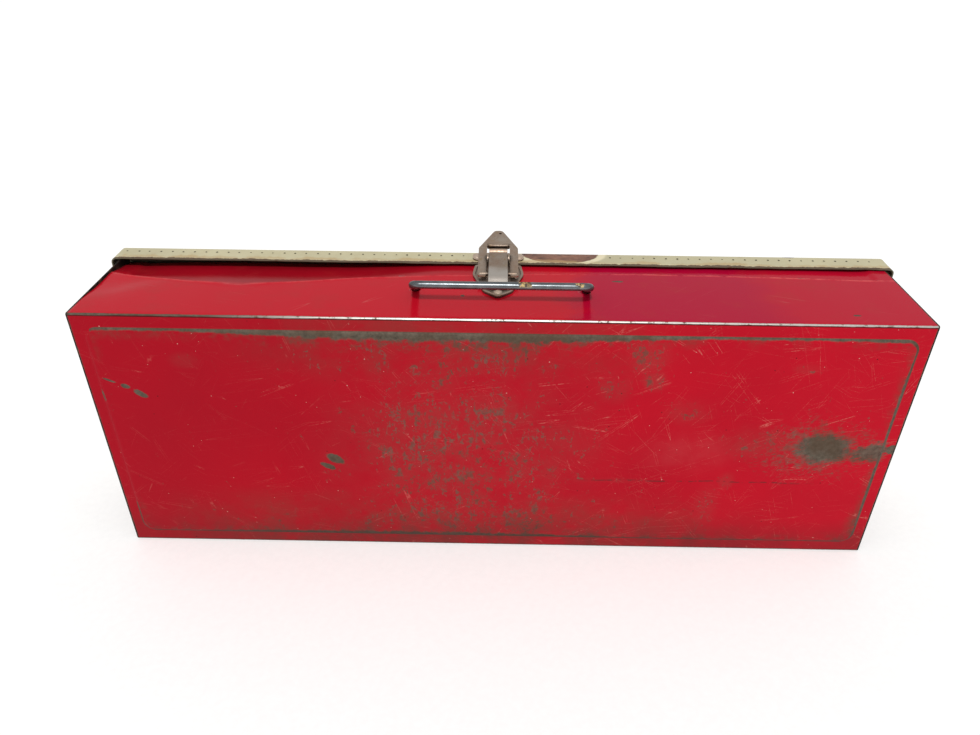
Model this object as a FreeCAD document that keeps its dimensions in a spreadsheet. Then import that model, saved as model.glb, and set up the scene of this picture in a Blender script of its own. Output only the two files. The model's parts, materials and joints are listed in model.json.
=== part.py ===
import FreeCAD, Part
import math
import os
import re
import Sketcher
from FreeCAD import Placement, Rotation, Vector

# A flat sheet-steel toolbox that stands on its hinged long edge.
# X runs along the box, Y from the stamped bottom panel to the lid, and Z up, from the hinged
# base wall to the narrow face that carries the bail handle and the draw latch.
# The origin is on the base wall, midway between the ends and midway through the pan's depth.

SIZES = [
    # the pan
    ("case_length", 508, "end panel to end panel, outside"),
    ("case_height", 180.5, "base wall to handle face, outside"),
    ("pan_depth", 87, "bottom panel to rim"),
    ("sheet", 0.9, "steel of the pan and the lid"),
    ("fold", 1.3, "outside radius of the folded edges"),
    ("stamp_inset", 8.6, "panel's long edges to the foot of the raised field"),
    ("stamp_side", 6.4, "panel's short edges to the foot of the raised field"),
    ("stamp_rise", 1.4, "how far the field stands out"),
    ("stamp_slope", 60, "slant of the field's border, degrees from straight out"),
    ("stamp_corner", 9, "corner radius of the field"),
    ("recess_reach", 22.5, "step in the handle face to the rim"),
    ("recess_drop", 1, "depth of the step under the lid's flange"),
    ("recess_end", 10, "step's end to the end panel's face"),
    ("end_flange", 8, "width of the end panels' inner flanges"),
    # the lid
    ("lid_overlap", 13.4, "how far the lid's flange laps the pan"),
    ("lid_headroom", 3.2, "rim to the lid panel's inside"),
    ("lid_gap", 1, "handle face to the inside of the lid's flange"),
    ("lid_end_gap", 4, "end panels to the inside of the lid's flange"),
    ("lid_corner", 3.5, "corner radius of the lid"),
    ("lid_foot", 0.3, "lid's lower edge above the base wall's face"),
    # the piano hinge
    ("knuckle", 2.4, "outside radius of the rolled knuckles"),
    ("pin_radius", 1.2, "radius of the hinge pin"),
    ("running", 0.05, "radial clearance of a pin in its hole"),
    ("hinge_length", 476, "length of the leaves and the pin"),
    ("knuckle_count", 15, "knuckles along the hinge, an odd number"),
    ("knuckle_gap", 0.4, "play between neighbouring knuckles"),
    ("leaf", 0.8, "steel of the leaves"),
    ("leaf_width", 15, "leaf beyond the knuckle's root"),
    ("leaf_root", 0.6, "knuckle to the leaf's flat"),
    ("hinge_proud", 0.1, "knuckle above the base wall's face"),
    ("hinge_relief", 0.8, "wall's edge to the knuckle"),
    ("hinge_lid_gap", 0.3, "knuckle to the lid panel's inside"),
    ("hinge_rivets", 7, "rivets in each leaf"),
    # rivets
    ("rivet", 1.6, "shank radius of the small rivets"),
    ("rivet_head", 2.9, "head radius"),
    ("rivet_dome", 1.1, "head height"),
    ("rivet_slack", 0.05, "shank to hole"),
    # the bail handle
    ("rod", 4.76, "diameter of the handle's rod"),
    ("handle_span", 106, "leg to leg, between centres"),
    ("handle_leg", 33.4, "pivot to grip, between centres"),
    ("handle_lean", 30, "rest angle above the handle face, degrees"),
    ("handle_bend", 5, "centre-line radius at the grip's corners"),
    ("handle_turn", 3, "centre-line radius where the ends turn out"),
    ("handle_end", 14, "length of the turned-out ends"),
    ("handle_setback", 47, "bottom panel to pivot"),
    ("handle_drop", 0.4, "handle face's inside to the rod"),
    ("slot_gap", 0.3, "rod to slot"),
    ("clip_width", 7, "width of the pivot clips"),
    ("clip_steel", 1.2, "steel of the pivot clips"),
    ("clip_foot", 8, "clip's foot beyond the saddle"),
    # the draw latch
    ("latch_offset", -2, "latch's centre from the box's centre"),
    ("latch_setback", 21, "rim to the lever's pivot"),
    ("latch_rise", 9.2, "handle face to the lever's pivot"),
    ("latch_steel", 1, "steel of the latch"),
    ("plate_half", 16.5, "half width of the base plate"),
    ("plate_nose", 39.5, "lever's pivot to the base plate's point"),
    ("plate_head", 6, "lever's pivot to the base plate's top edge"),
    ("plate_rim", 0.7, "raised border of the base plate"),
    ("ear_half", 4, "half width of the ears"),
    ("lever_width", 12, "outside width of the lever"),
    ("lever_reach", 30, "lever's pivot to its thumb lip"),
    ("lever_dip", 4.9, "thumb lip below the lever's pivot"),
    ("lever_side_gap", 0.2, "lever to ears, and ears to the link's arms"),
    ("lever_pin", 1.5, "radius of the lever's pin"),
    ("link_pivot", 16.5, "lever's pivot to the link's pivot, along the box's depth"),
    ("link_low", 3.5, "link's pivot below the lever's pivot"),
    ("trunnion", 1.3, "radius of the link's inturned feet"),
    ("link_tilt", 9.9, "rest tilt of the link, degrees"),
    ("link_arm", 5.4, "width of the link's arms"),
    ("link_reach", 32.3, "link's pivot to the inside of its arch"),
    ("link_tip", 49.5, "link's pivot to its point"),
    ("link_steel", 1.3, "steel of the link"),
    ("seal_hole", 0.9, "radius of the small hole near the link's point"),
    ("hook_gap", 0.5, "hook's top to the link's arch"),
    ("hook_bend", 2.4, "outside radius of the hook"),
    ("strike_half", 17, "half width of the strike plate"),
    ("strike_depth", 10.5, "depth of the strike plate"),
    # the tray
    ("tray_depth", 30, "outside depth of the tray"),
    ("tray_below", 3, "tray's rim below the pan's rim"),
    ("tray_low", 14, "tray above the base wall's face"),
    ("tray_high", 11.5, "tray below the handle face"),
    ("tray_end_gap", 3.1, "tray to end panel"),
    ("tray_sheet", 0.8, "steel of the tray"),
    ("tray_hem", 5, "depth of the folded hem"),
    ("tray_corner", 3.8, "outside corner radius of the hem"),
    ("tray_rivet", 1.2, "hole radius of the tray handle's rivets"),
    ("divider_rim", 3, "dividers below the tray's rim"),
    ("divider_long_place", 0.68, "long divider, as a share of the tray's width"),
    ("divider_cross_place", 80, "cross dividers from the centre"),
    ("divider_foot", 8, "width of the dividers' feet"),
    ("rest_width", 9, "ledge under the tray"),
    ("rest_web", 12, "ledge's web on the end panel"),
    ("rest_lip", 6, "lips that hold the tray edgeways"),
    ("strap_half", 45, "half length of the tray's handle"),
    ("strap_width", 14, "width of the tray's handle"),
    ("strap_steel", 1.2, "steel of the tray's handle"),
    ("strap_foot", 12, "feet of the tray's handle"),
    ("strap_below", 1.5, "tray's handle below the tray's rim"),
]

# Places worked out from the sizes above.
BACK = "(-pan_depth / 2)"
RIM = "(pan_depth / 2)"
HALF = "(case_length / 2)"
TOP = "case_height"
LID_IN = "(pan_depth / 2 + lid_headroom)"
LID_OUT = "(pan_depth / 2 + lid_headroom + sheet)"
LID_EDGE = "(pan_depth / 2 - lid_overlap)"
LID_TOP = "(case_height + lid_gap + sheet)"
LID_HALF = "(case_length / 2 + lid_end_gap + sheet)"
HINGE_Y = "(pan_depth / 2 + lid_headroom - knuckle - hinge_lid_gap)"
HINGE_Z = "(knuckle + hinge_proud)"
WALL_END = "(pan_depth / 2 + lid_headroom - 2 * knuckle - hinge_lid_gap - hinge_relief)"
GRIP_Y = "(handle_setback - pan_depth / 2)"
PIVOT_Z = "(case_height - sheet - handle_drop - rod / 2)"
LATCH_Y = "(pan_depth / 2 - latch_setback)"
LATCH_Z = "(case_height + latch_rise)"
LINK_Y = "(pan_depth / 2 - latch_setback - link_pivot)"
LINK_Z = "(case_height + latch_rise - link_low)"
TRAY_RIM = "(pan_depth / 2 - tray_below)"
TRAY_FLOOR = "(pan_depth / 2 - tray_below - tray_depth)"
TRAY_HALF = "(case_length / 2 - sheet - tray_end_gap)"
TRAY_TOP = "(case_height - tray_high)"
ARCH_LOW = f"({LINK_Z} + link_reach * sin(link_tilt) - link_steel / 2 * cos(link_tilt))"

doc = FreeCAD.newDocument("toolbox")
sheet = doc.addObject("Spreadsheet::Sheet", "dims")
for row, (alias, number, note) in enumerate(SIZES, start=1):
    sheet.set(f"A{row}", note)
    sheet.set(f"B{row}", str(number))
    sheet.setAlias(f"B{row}", alias)
doc.recompute()

NAMES = {alias for alias, number, note in SIZES}
NODES = {}


def formula(text):
    """Spell a formula the way the document's expressions read it."""
    text = re.sub(r"[a-z_]+", lambda word: "dims." + word[0] if word[0] in NAMES else word[0], str(text))
    return text


def value(text):
    """A formula's number, for starting geometry, counts and radii."""
    found = sheet.evalExpression(formula(text))
    return float(getattr(found, "Value", found))


def keep(node, thing):
    """Name a finished sub-part."""
    thing.Label = node
    NODES[node] = thing
    return thing


def stand(thing, x="0", y="0", z="0", rotation=None):
    """Place an object by formulas."""
    if rotation is not None:
        thing.Placement = Placement(Vector(), rotation)
    for axis, place in zip("xyz", (x, y, z)):
        thing.setExpression(f"Placement.Base.{axis}", formula(place))
    return thing


def block(name, low, high):
    """A box between two corners."""
    box = doc.addObject("Part::Box", name)
    for size, start, end in zip(("Length", "Width", "Height"), low, high):
        box.setExpression(size, formula(f"({end}) - ({start})"))
    return stand(box, *low)


TURNS = {
    "X": Rotation(Vector(0, 1, 0), 90),
    "Y": Rotation(Vector(1, 0, 0), -90),
    "Z": Rotation(),
    "-X": Rotation(Vector(0, 1, 0), -90),
    "-Y": Rotation(Vector(1, 0, 0), 90),
    "-Z": Rotation(Vector(1, 0, 0), 180),
}
STEPS = {"X": (1, 0, 0), "Y": (0, 1, 0), "Z": (0, 0, 1)}
STEPS.update({"-" + way: tuple(-part for part in step) for way, step in list(STEPS.items())})


def along(start, way, distance):
    """The point at a distance from start."""
    return tuple(f"({place}) + ({step}) * ({distance})" for place, step in zip(start, STEPS[way]))


def bar(name, start, way, radius, length):
    """A cylinder from start, running one way."""
    cylinder = doc.addObject("Part::Cylinder", name)
    cylinder.setExpression("Radius", formula(radius))
    cylinder.setExpression("Height", formula(length))
    return stand(cylinder, *start, rotation=TURNS[way])


def dome(name, start, way, radius, height):
    """A low spherical cap on the plane through start."""
    ball = f"((({radius}) ^ 2 + ({height}) ^ 2) / (2 * ({height})))"
    cap = doc.addObject("Part::Sphere", name)
    cap.setExpression("Radius", formula(ball))
    cap.setExpression("Angle1", formula(f"asin(({ball} - ({height})) / {ball})"))
    return stand(cap, *along(start, way, f"({height}) - {ball}"), rotation=TURNS[way])


def join(name, pieces):
    """One solid from several."""
    union = doc.addObject("Part::MultiFuse", name)
    union.Shapes = pieces
    return union


def take(name, base, tools):
    """A solid less one or more others."""
    cut = doc.addObject("Part::Cut", name)
    cut.Base = base
    cut.Tool = tools[0] if len(tools) == 1 else join(name + "_tools", tools)
    return cut


def group(name, pieces):
    """Separate solids that share a node."""
    compound = doc.addObject("Part::Compound", name)
    compound.Links = pieces
    return compound


def rivet(name, seat, way, grip, tail=True):
    """A domed head on seat, a shank through the grip, and a flat set head behind it."""
    pieces = [
        dome(name + "_head", seat, way, "rivet_head", "rivet_dome"),
        bar(name + "_shank", seat, opposite(way), "rivet", grip),
    ]
    if tail:
        end = along(seat, opposite(way), grip)
        pieces.append(bar(name + "_tail", end, opposite(way), "rivet_head * 0.8", "rivet_dome * 0.6"))
    return join(name, pieces)


def opposite(way):
    return way[1:] if way.startswith("-") else "-" + way


def rivet_hole(name, seat, way, grip):
    start = along(seat, way, "1")
    return bar(name, start, opposite(way), "rivet + rivet_slack", f"({grip}) + 2")


def body(name):
    return doc.addObject("PartDesign::Body", name)


def sketch_on(owner, name, role, offset):
    """A sketch on one of the body's own origin planes, moved along the plane's normal."""
    sketch = owner.newObject("Sketcher::SketchObject", name)
    plane = [feature for feature in owner.Origin.OriginFeatures if feature.Role == role][0]
    sketch.AttachmentSupport = [(plane, "")]
    sketch.MapMode = "FlatFace"
    sketch.setExpression("AttachmentOffset.Base.z", formula(offset))
    return sketch


def pin_point(sketch, geometry, spot, u, v):
    """Hold a point of the sketch at its two coordinates."""
    for kind, place in (("DistanceX", u), ("DistanceY", v)):
        number = sketch.addConstraint(Sketcher.Constraint(kind, -1, 1, geometry, spot, value(place)))
        sketch.setExpression(f"Constraints[{number}]", formula(place))


def outline(sketch, corners, closed=True):
    """Straight runs through the corners; a corner's third value rounds it to that radius."""
    spots = [Vector(value(u), value(v), 0) for u, v, *rest in corners]
    radii = [rest[0] if rest else None for u, v, *rest in corners]
    count = len(spots)
    enters, leaves, arcs = [], [], {}
    for i, spot in enumerate(spots):
        ends = not closed and i in (0, count - 1)
        if radii[i] is None or ends:
            enters.append(spot)
            leaves.append(spot)
            continue
        back = (spots[i - 1] - spot).normalize()
        ahead = (spots[(i + 1) % count] - spot).normalize()
        half = back.getAngle(ahead) / 2
        radius = value(radii[i])
        enters.append(spot + back * (radius / math.tan(half)))
        leaves.append(spot + ahead * (radius / math.tan(half)))
        centre = spot + (back + ahead).normalize() * (radius / math.sin(half))
        left = back.cross(ahead).z < 0
        first, second = (enters[i], leaves[i]) if left else (leaves[i], enters[i])
        start = math.atan2(first.y - centre.y, first.x - centre.x)
        stop = math.atan2(second.y - centre.y, second.x - centre.x)
        circle = Part.Circle(centre, Vector(0, 0, 1), radius)
        arcs[i] = (sketch.addGeometry(Part.ArcOfCircle(circle, start, stop), False), left)
    runs = []
    for i in range(count if closed else count - 1):
        runs.append(sketch.addGeometry(Part.LineSegment(leaves[i], enters[(i + 1) % count]), False))
    for i, (u, v, *rest) in enumerate(corners):
        before = runs[i - 1] if closed or i > 0 else None
        after = runs[i] if i < len(runs) else None
        if i not in arcs:
            if before is not None and after is not None:
                sketch.addConstraint(Sketcher.Constraint("Coincident", before, 2, after, 1))
            pin_point(sketch, *((after, 1) if after is not None else (before, 2)), u, v)
            continue
        arc, left = arcs[i]
        corner = sketch.addGeometry(Part.Point(spots[i]), True)
        pin_point(sketch, corner, 1, u, v)
        for run in (before, after):
            sketch.addConstraint(Sketcher.Constraint("PointOnObject", corner, 1, run))
        sketch.addConstraint(Sketcher.Constraint("Tangent", before, 2, arc, 1 if left else 2))
        sketch.addConstraint(Sketcher.Constraint("Tangent", arc, 2 if left else 1, after, 1))
        number = sketch.addConstraint(Sketcher.Constraint("Radius", arc, value(radii[i])))
        sketch.setExpression(f"Constraints[{number}]", formula(radii[i]))


def circle(sketch, u, v, radius):
    centre = Vector(value(u), value(v), 0)
    ring = sketch.addGeometry(Part.Circle(centre, Vector(0, 0, 1), value(radius)), False)
    pin_point(sketch, ring, 3, u, v)
    number = sketch.addConstraint(Sketcher.Constraint("Radius", ring, value(radius)))
    sketch.setExpression(f"Constraints[{number}]", formula(radius))


def rectangle(u_low, v_low, u_high, v_high, radius=None):
    """The corners of an upright rectangle."""
    corners = [(u_low, v_low), (u_high, v_low), (u_high, v_high), (u_low, v_high)]
    return [corner + ((radius,) if radius else ()) for corner in corners]


def pad(owner, name, sketch, length, side="One side", turned=False, taper=None):
    """Add the sketch's outline to its body."""
    feature = owner.newObject("PartDesign::Pad", name)
    feature.Profile = sketch
    feature.SideType = side
    feature.Reversed = turned
    feature.setExpression("Length", formula(length))
    if taper:
        feature.setExpression("TaperAngle", formula(taper))
    sketch.Visibility = False
    return feature


def pocket(owner, name, sketch, length, side="One side", turned=False, taper=None):
    """Take the sketch's outline out of its body, and see that it cut something."""
    doc.recompute()
    before = owner.Shape.Volume
    feature = owner.newObject("PartDesign::Pocket", name)
    feature.Profile = sketch
    feature.SideType = side
    feature.Reversed = turned
    feature.setExpression("Length", formula(length))
    if taper:
        feature.setExpression("TaperAngle", formula(taper))
    sketch.Visibility = False
    doc.recompute()
    if owner.Shape.Volume >= before - 0.01:
        raise SystemExit(f"{name} cuts nothing")
    return feature


def raised_field(owner, name, plane, outward, half, low, high):
    """Press a field with slanted borders out of a panel whose outside lies on the plane."""
    # the inside border follows the outside one at the sheet's thickness
    lead = "sheet * (1 / cos(90 - stamp_slope) - tan(90 - stamp_slope)) * tan(stamp_slope)"
    foot = rectangle(f"-{half} + stamp_side", f"{low} + stamp_inset", f"{half} - stamp_side",
                     f"{high} - stamp_inset", "stamp_corner")
    shape = sketch_on(owner, name + "_foot", "XZ_Plane", f"-({plane})")
    outline(shape, foot)
    pad(owner, name, shape, "stamp_rise", turned=outward, taper="-stamp_slope")
    side, inner = f"stamp_side + {lead}", f"stamp_inset + {lead}"
    hollow = rectangle(f"-{half} + {side}", f"{low} + {inner}", f"{half} - ({side})",
                       f"{high} - ({inner})", f"stamp_corner - {lead}")
    inside = f"({plane}) - sheet" if outward else f"({plane}) + sheet"
    shape = sketch_on(owner, name + "_hollow_foot", "XZ_Plane", f"-({inside})")
    outline(shape, hollow)
    pocket(owner, name + "_hollow", shape, "stamp_rise", turned=not outward, taper="-stamp_slope")


# ---- the pan ----

def latch_rivet_spots():
    """Rivets of the latch's base plate: one at its point and one beside each of the link's arms."""
    return [("0", "7.5 - plate_nose"), ("-10", "-11"), ("10", "-11")]


def build_wrap():
    """One folded sheet: handle face, stamped bottom panel and base wall."""
    wrap = keep("case_wrap", body("case_wrap"))
    section = sketch_on(wrap, "wrap_section", "YZ_Plane", "0")
    outline(section, [
        (WALL_END, "0"), (WALL_END, "sheet"),
        (f"{BACK} + sheet", "sheet", "fold - sheet"),
        (f"{BACK} + sheet", f"{TOP} - sheet", "fold - sheet"),
        (RIM, f"{TOP} - sheet"), (RIM, TOP),
        (BACK, TOP, "fold"), (BACK, "0", "fold"),
    ])
    pad(wrap, "wrap_sheet", section, "case_length - 2 * sheet", side="Symmetric")
    raised_field(wrap, "bottom_field", BACK, False, f"({HALF} - sheet)", "0", f"({TOP})")
    under = sketch_on(wrap, "step_under", "XY_Plane", f"{TOP} - sheet - recess_drop")
    reach = f"({HALF} - recess_end)"
    outline(under, rectangle(f"-{reach} - sheet", f"{RIM} - recess_reach - sheet", f"{reach} + sheet", RIM))
    pad(wrap, "step_metal", under, "recess_drop")
    over = sketch_on(wrap, "step_over", "XY_Plane", TOP)
    outline(over, rectangle(f"-{reach}", f"{RIM} - recess_reach", reach, f"{RIM} + 1"))
    pocket(wrap, "step", over, "recess_drop")
    holes = sketch_on(wrap, "handle_face_holes", "XY_Plane", TOP)
    long = f"(({TOP} - {PIVOT_Z}) / tan(handle_lean) + rod / 2 / sin(handle_lean) + slot_gap)"
    wide = "(rod / 2 + slot_gap)"
    for sign in ("-", ""):
        middle = f"{sign}handle_span / 2"
        outline(holes, rectangle(f"{middle} - {wide}", f"{GRIP_Y} - {long}", f"{middle} + {wide}",
                                 f"{GRIP_Y} + {wide}", f"{wide} - 0.1"))
    for x, y in latch_rivet_spots():
        circle(holes, f"latch_offset + {x}", f"{LATCH_Y} + {y}", "rivet + rivet_slack")
    pocket(wrap, "handle_slots", holes, "3 * sheet")
    floor = sketch_on(wrap, "base_wall_holes", "XY_Plane", "2 * sheet")
    for x in hinge_rivet_spots():
        circle(floor, x, f"{WALL_END} - leaf_width / 2", "rivet + rivet_slack")
    pocket(wrap, "hinge_holes", floor, "3 * sheet")


def hinge_rivet_spots():
    count = int(value("hinge_rivets"))
    return [f"hinge_length * {(i + 0.5) / count - 0.5}" for i in range(count)]


def build_end_panels():
    """Flat end plates with inner flanges on three sides, notched clear of the lid's lower edge."""
    for side, sign in (("left", "-"), ("right", "")):
        node = f"end_panel_{side}"
        panel = keep(node, body(node))
        plane = f"{sign}({HALF} - sheet)"
        plate = sketch_on(panel, node + "_plate", "YZ_Plane", plane)
        notch_y, notch_z = f"{HINGE_Y} - 2 * knuckle", f"{HINGE_Z} + 2 * knuckle + 0.3"
        outline(plate, [(BACK, "0", "fold"), (notch_y, "0"), (notch_y, notch_z), (RIM, notch_z),
                        (RIM, TOP), (BACK, TOP, "fold")])
        for z in rest_rivet_spots():
            circle(plate, f"{TRAY_FLOOR} - rest_web / 2", z, "rivet + rivet_slack")
        pad(panel, node + "_sheet", plate, "sheet", turned=side == "left")
        rim = sketch_on(panel, node + "_flange_section", "YZ_Plane", plane)
        outline(rim, [
            (f"{BACK} + sheet", "sheet", "sheet"), (notch_y, "sheet"), (notch_y, "2 * sheet"),
            (f"{BACK} + 2 * sheet", "2 * sheet"), (f"{BACK} + 2 * sheet", f"{TOP} - 2 * sheet"),
            (RIM, f"{TOP} - 2 * sheet"), (RIM, f"{TOP} - sheet"), (f"{BACK} + sheet", f"{TOP} - sheet", "sheet"),
        ])
        pad(panel, node + "_flange", rim, "end_flange - sheet", turned=side == "right")


def rest_rivet_spots():
    return ["0.25 * case_height", "0.75 * case_height"]


def build_tray_rests():
    """Angle ledges on the end panels, with a lip at each end that holds the tray edgeways."""
    rivets = []
    for side, sign in (("left", "-1"), ("right", "1")):
        node = f"tray_rest_{side}"
        wall = f"({HALF} - sheet)"
        low, high = "(tray_low - 0.5 - sheet)", f"({TRAY_TOP} + 0.5 + sheet)"
        metal = [
            (f"{wall} - sheet", f"{TRAY_FLOOR} - rest_web", low, wall, TRAY_FLOOR, high),
            (f"{wall} - rest_width", f"{TRAY_FLOOR} - sheet", low, wall, TRAY_FLOOR, high),
            (f"{wall} - rest_width", f"{TRAY_FLOOR} - sheet", low, wall, f"{TRAY_FLOOR} + rest_lip",
             f"{low} + sheet"),
            (f"{wall} - rest_width", f"{TRAY_FLOOR} - sheet", f"{high} - sheet", wall,
             f"{TRAY_FLOOR} + rest_lip", high),
        ]
        blocks = []
        for i, (x0, y0, z0, x1, y1, z1) in enumerate(metal):
            start, end = (x0, x1) if side == "right" else (f"-({x1})", f"-({x0})")
            blocks.append(block(f"{node}_metal_{i}", (start, y0, z0), (end, y1, z1)))
        out = "X" if side == "right" else "-X"
        grip = "2 * sheet"
        holes = []
        for i, z in enumerate(rest_rivet_spots()):
            seat = (f"{sign} * {HALF}", f"{TRAY_FLOOR} - rest_web / 2", z)
            rivets.append(rivet(f"tray_rest_rivet_{side}_{i}", seat, out, grip))
            holes.append(rivet_hole(f"{node}_hole_{i}", seat, out, grip))
        keep(node, take(node, join(node + "_blank", blocks), holes))
    keep("tray_rest_rivets", group("tray_rest_rivets", rivets))


# ---- the piano hinge and the lid ----

def build_hinge():
    """Two leaves with alternate knuckles on one long pin, riveted to the base wall and the lid."""
    count = int(value("knuckle_count"))
    start = "-hinge_length / 2"
    pin = bar("hinge_pin", (start, HINGE_Y, HINGE_Z), "X", "pin_radius", "hinge_length")
    keep("hinge_pin", pin)
    reach = "(knuckle + leaf_root)"
    leaves = {
        "case": (("sheet", "sheet + leaf"), f"{HINGE_Y} - {reach}"),
        "lid": ((f"{LID_IN} - leaf", LID_IN), f"{HINGE_Z} + {reach}"),
    }
    for owner, (faces, edge) in leaves.items():
        node = f"hinge_leaf_{owner}"

        def slab(name, x0, x1, near, far):
            """A stretch of leaf between two distances from the pin's line."""
            if owner == "case":
                return block(name, (x0, far, faces[0]), (x1, near, faces[1]))
            return block(name, (x0, faces[0], near), (x1, faces[1], far))

        far = f"{WALL_END} - leaf_width" if owner == "case" else f"{HINGE_Z} + {reach} + leaf_width"
        pieces = [slab(node + "_flat", start, "hinge_length / 2", edge, far)]
        for i in range(count):
            if (i % 2 == 0) != (owner == "case"):
                continue
            x0 = f"({start} + hinge_length * {i} / knuckle_count + knuckle_gap / 2)"
            length = "(hinge_length / knuckle_count - knuckle_gap)"
            pieces.append(bar(f"{node}_knuckle_{i}", (x0, HINGE_Y, HINGE_Z), "X", "knuckle", length))
            near = HINGE_Y if owner == "case" else HINGE_Z
            pieces.append(slab(f"{node}_root_{i}", x0, f"{x0} + {length}", near, edge))
        bore = bar(node + "_bore", (f"{start} - 1", HINGE_Y, HINGE_Z), "X", "pin_radius + running",
                   "hinge_length + 2")
        holes, rivets = [], []
        for i, x in enumerate(hinge_rivet_spots()):
            if owner == "case":
                seat, out = (x, f"{WALL_END} - leaf_width / 2", "sheet + leaf"), "Z"
            else:
                seat, out = (x, LID_OUT, f"{HINGE_Z} + {reach} + leaf_width / 2"), "Y"
            grip = "sheet + leaf"
            rivets.append(rivet(f"hinge_rivet_{owner}_{i}", seat, out, grip, tail=owner == "lid"))
            holes.append(rivet_hole(f"{node}_hole_{i}", seat, out, grip))
        keep(node, take(node, join(node + "_blank", pieces), [bore] + holes))
        keep(f"hinge_rivets_{owner}", group(f"hinge_rivets_{owner}", rivets))


def build_lid():
    """A shallow pan with flanges on three sides and the same raised field as the bottom panel."""
    lid = keep("lid_pan", body("lid_pan"))
    face = sketch_on(lid, "lid_outline", "XZ_Plane", f"-{LID_OUT}")
    outline(face, [(f"-{LID_HALF}", "lid_foot"), (LID_HALF, "lid_foot"),
                   (LID_HALF, LID_TOP, "lid_corner"), (f"-{LID_HALF}", LID_TOP, "lid_corner")])
    pad(lid, "lid_block", face, f"{LID_OUT} - {LID_EDGE}")
    hollow = sketch_on(lid, "lid_hollow_outline", "XZ_Plane", f"-{LID_IN}")
    inner = f"({LID_HALF} - sheet)"
    outline(hollow, [(f"-{inner}", "lid_foot - 1"), (inner, "lid_foot - 1"),
                     (inner, f"{LID_TOP} - sheet", "lid_corner - sheet"),
                     (f"-{inner}", f"{LID_TOP} - sheet", "lid_corner - sheet")])
    pocket(lid, "lid_hollow", hollow, f"{LID_IN} - {LID_EDGE} + 1", turned=True)
    low = f"(lid_foot + leaf_width + knuckle)"
    raised_field(lid, "lid_field", LID_OUT, True, LID_HALF, low, f"({LID_TOP})")
    holes = sketch_on(lid, "lid_panel_holes", "XZ_Plane", f"-({LID_OUT} + 1)")
    for x in hinge_rivet_spots():
        circle(holes, x, f"{HINGE_Z} + knuckle + leaf_root + leaf_width / 2", "rivet + rivet_slack")
    pocket(lid, "lid_hinge_holes", holes, "3 * sheet", turned=True)
    top = sketch_on(lid, "lid_flange_holes", "XY_Plane", f"{LID_TOP} + 1")
    for x, y in strike_rivet_spots():
        circle(top, x, y, "rivet + rivet_slack")
    pocket(lid, "lid_strike_holes", top, "3 * sheet")


# ---- the bail handle ----

def build_handle():
    """A round rod bent into a bail, its ends turned out under the handle face."""
    handle = body("carry_handle")
    route = sketch_on(handle, "handle_route", "XZ_Plane", "0")
    side = "(handle_span / 2)"
    outline(route, [
        (f"-{side} - handle_end", "0"), (f"-{side}", "0", "handle_turn"),
        (f"-{side}", "handle_leg", "handle_bend"), (side, "handle_leg", "handle_bend"),
        (side, "0", "handle_turn"), (f"{side} + handle_end", "0"),
    ], closed=False)
    section = sketch_on(handle, "handle_section", "YZ_Plane", f"-{side} - handle_end")
    circle(section, "0", "0", "rod / 2")
    doc.recompute()
    sweep = handle.newObject("PartDesign::AdditivePipe", "handle_rod")
    sweep.Profile = section
    sweep.Spine = route
    stand(handle, "0", GRIP_Y, PIVOT_Z, Rotation(Vector(1, 0, 0), 90 - value("handle_lean")))
    handle.setExpression("Placement.Rotation.Angle", formula("90 - handle_lean"))
    keep("carry_handle", handle)


def build_handle_clips():
    """Saddles welded under the handle face; the handle's ends turn in them."""
    ceiling = f"({TOP} - sheet)"
    for side, sign in (("left", -1), ("right", 1)):
        node = f"handle_clip_{side}"
        middle = f"({sign} * (handle_span / 2 + handle_end - clip_width / 2 - 1))"
        x0, x1 = f"{middle} - clip_width / 2", f"{middle} + clip_width / 2"
        inside = "(rod / 2 + running)"
        outside = "(rod / 2 + running + clip_steel)"
        foot = f"({outside} + clip_foot)"
        metal = join(node + "_blank", [
            block(node + "_feet", (x0, f"{GRIP_Y} - {foot}", f"{ceiling} - clip_steel"),
                  (x1, f"{GRIP_Y} + {foot}", ceiling)),
            bar(node + "_saddle", (x0, GRIP_Y, PIVOT_Z), "X", outside, "clip_width"),
            block(node + "_cheeks", (x0, f"{GRIP_Y} - {outside}", PIVOT_Z), (x1, f"{GRIP_Y} + {outside}", ceiling)),
        ])
        above = block(node + "_roof", (f"{x0} - 1", f"{GRIP_Y} - {outside} - 1", ceiling),
                      (f"{x1} + 1", f"{GRIP_Y} + {outside} + 1", f"{ceiling} + 9"))
        bore = bar(node + "_bore", (f"{x0} - 1", GRIP_Y, PIVOT_Z), "X", inside, "clip_width + 2")
        channel = block(node + "_channel", (f"{x0} - 1", f"{GRIP_Y} - {inside}", PIVOT_Z),
                        (f"{x1} + 1", f"{GRIP_Y} + {inside}", f"{ceiling} + 1"))
        keep(node, take(node, metal, [bore, channel, above]))


# ---- the draw latch ----

def shield(inset):
    """Outline of the base plate, or of its field inside the raised border."""
    side = [("plate_half - 1.5", "plate_head", "2.5"), ("plate_half", "-8", "14"),
            ("plate_half * 0.55", "7.5 - plate_nose", "8")]
    right = [(f"{u} - {inset}", f"{v} - {inset} * {k}", r) for (u, v, r), k in zip(side, (1, 0, -0.8))]
    nose = ("0", f"{inset} * 1.2 - plate_nose", "2.5")
    left = [(f"-({u})", v, r) for u, v, r in right]
    return [nose] + right[::-1] + left


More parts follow.
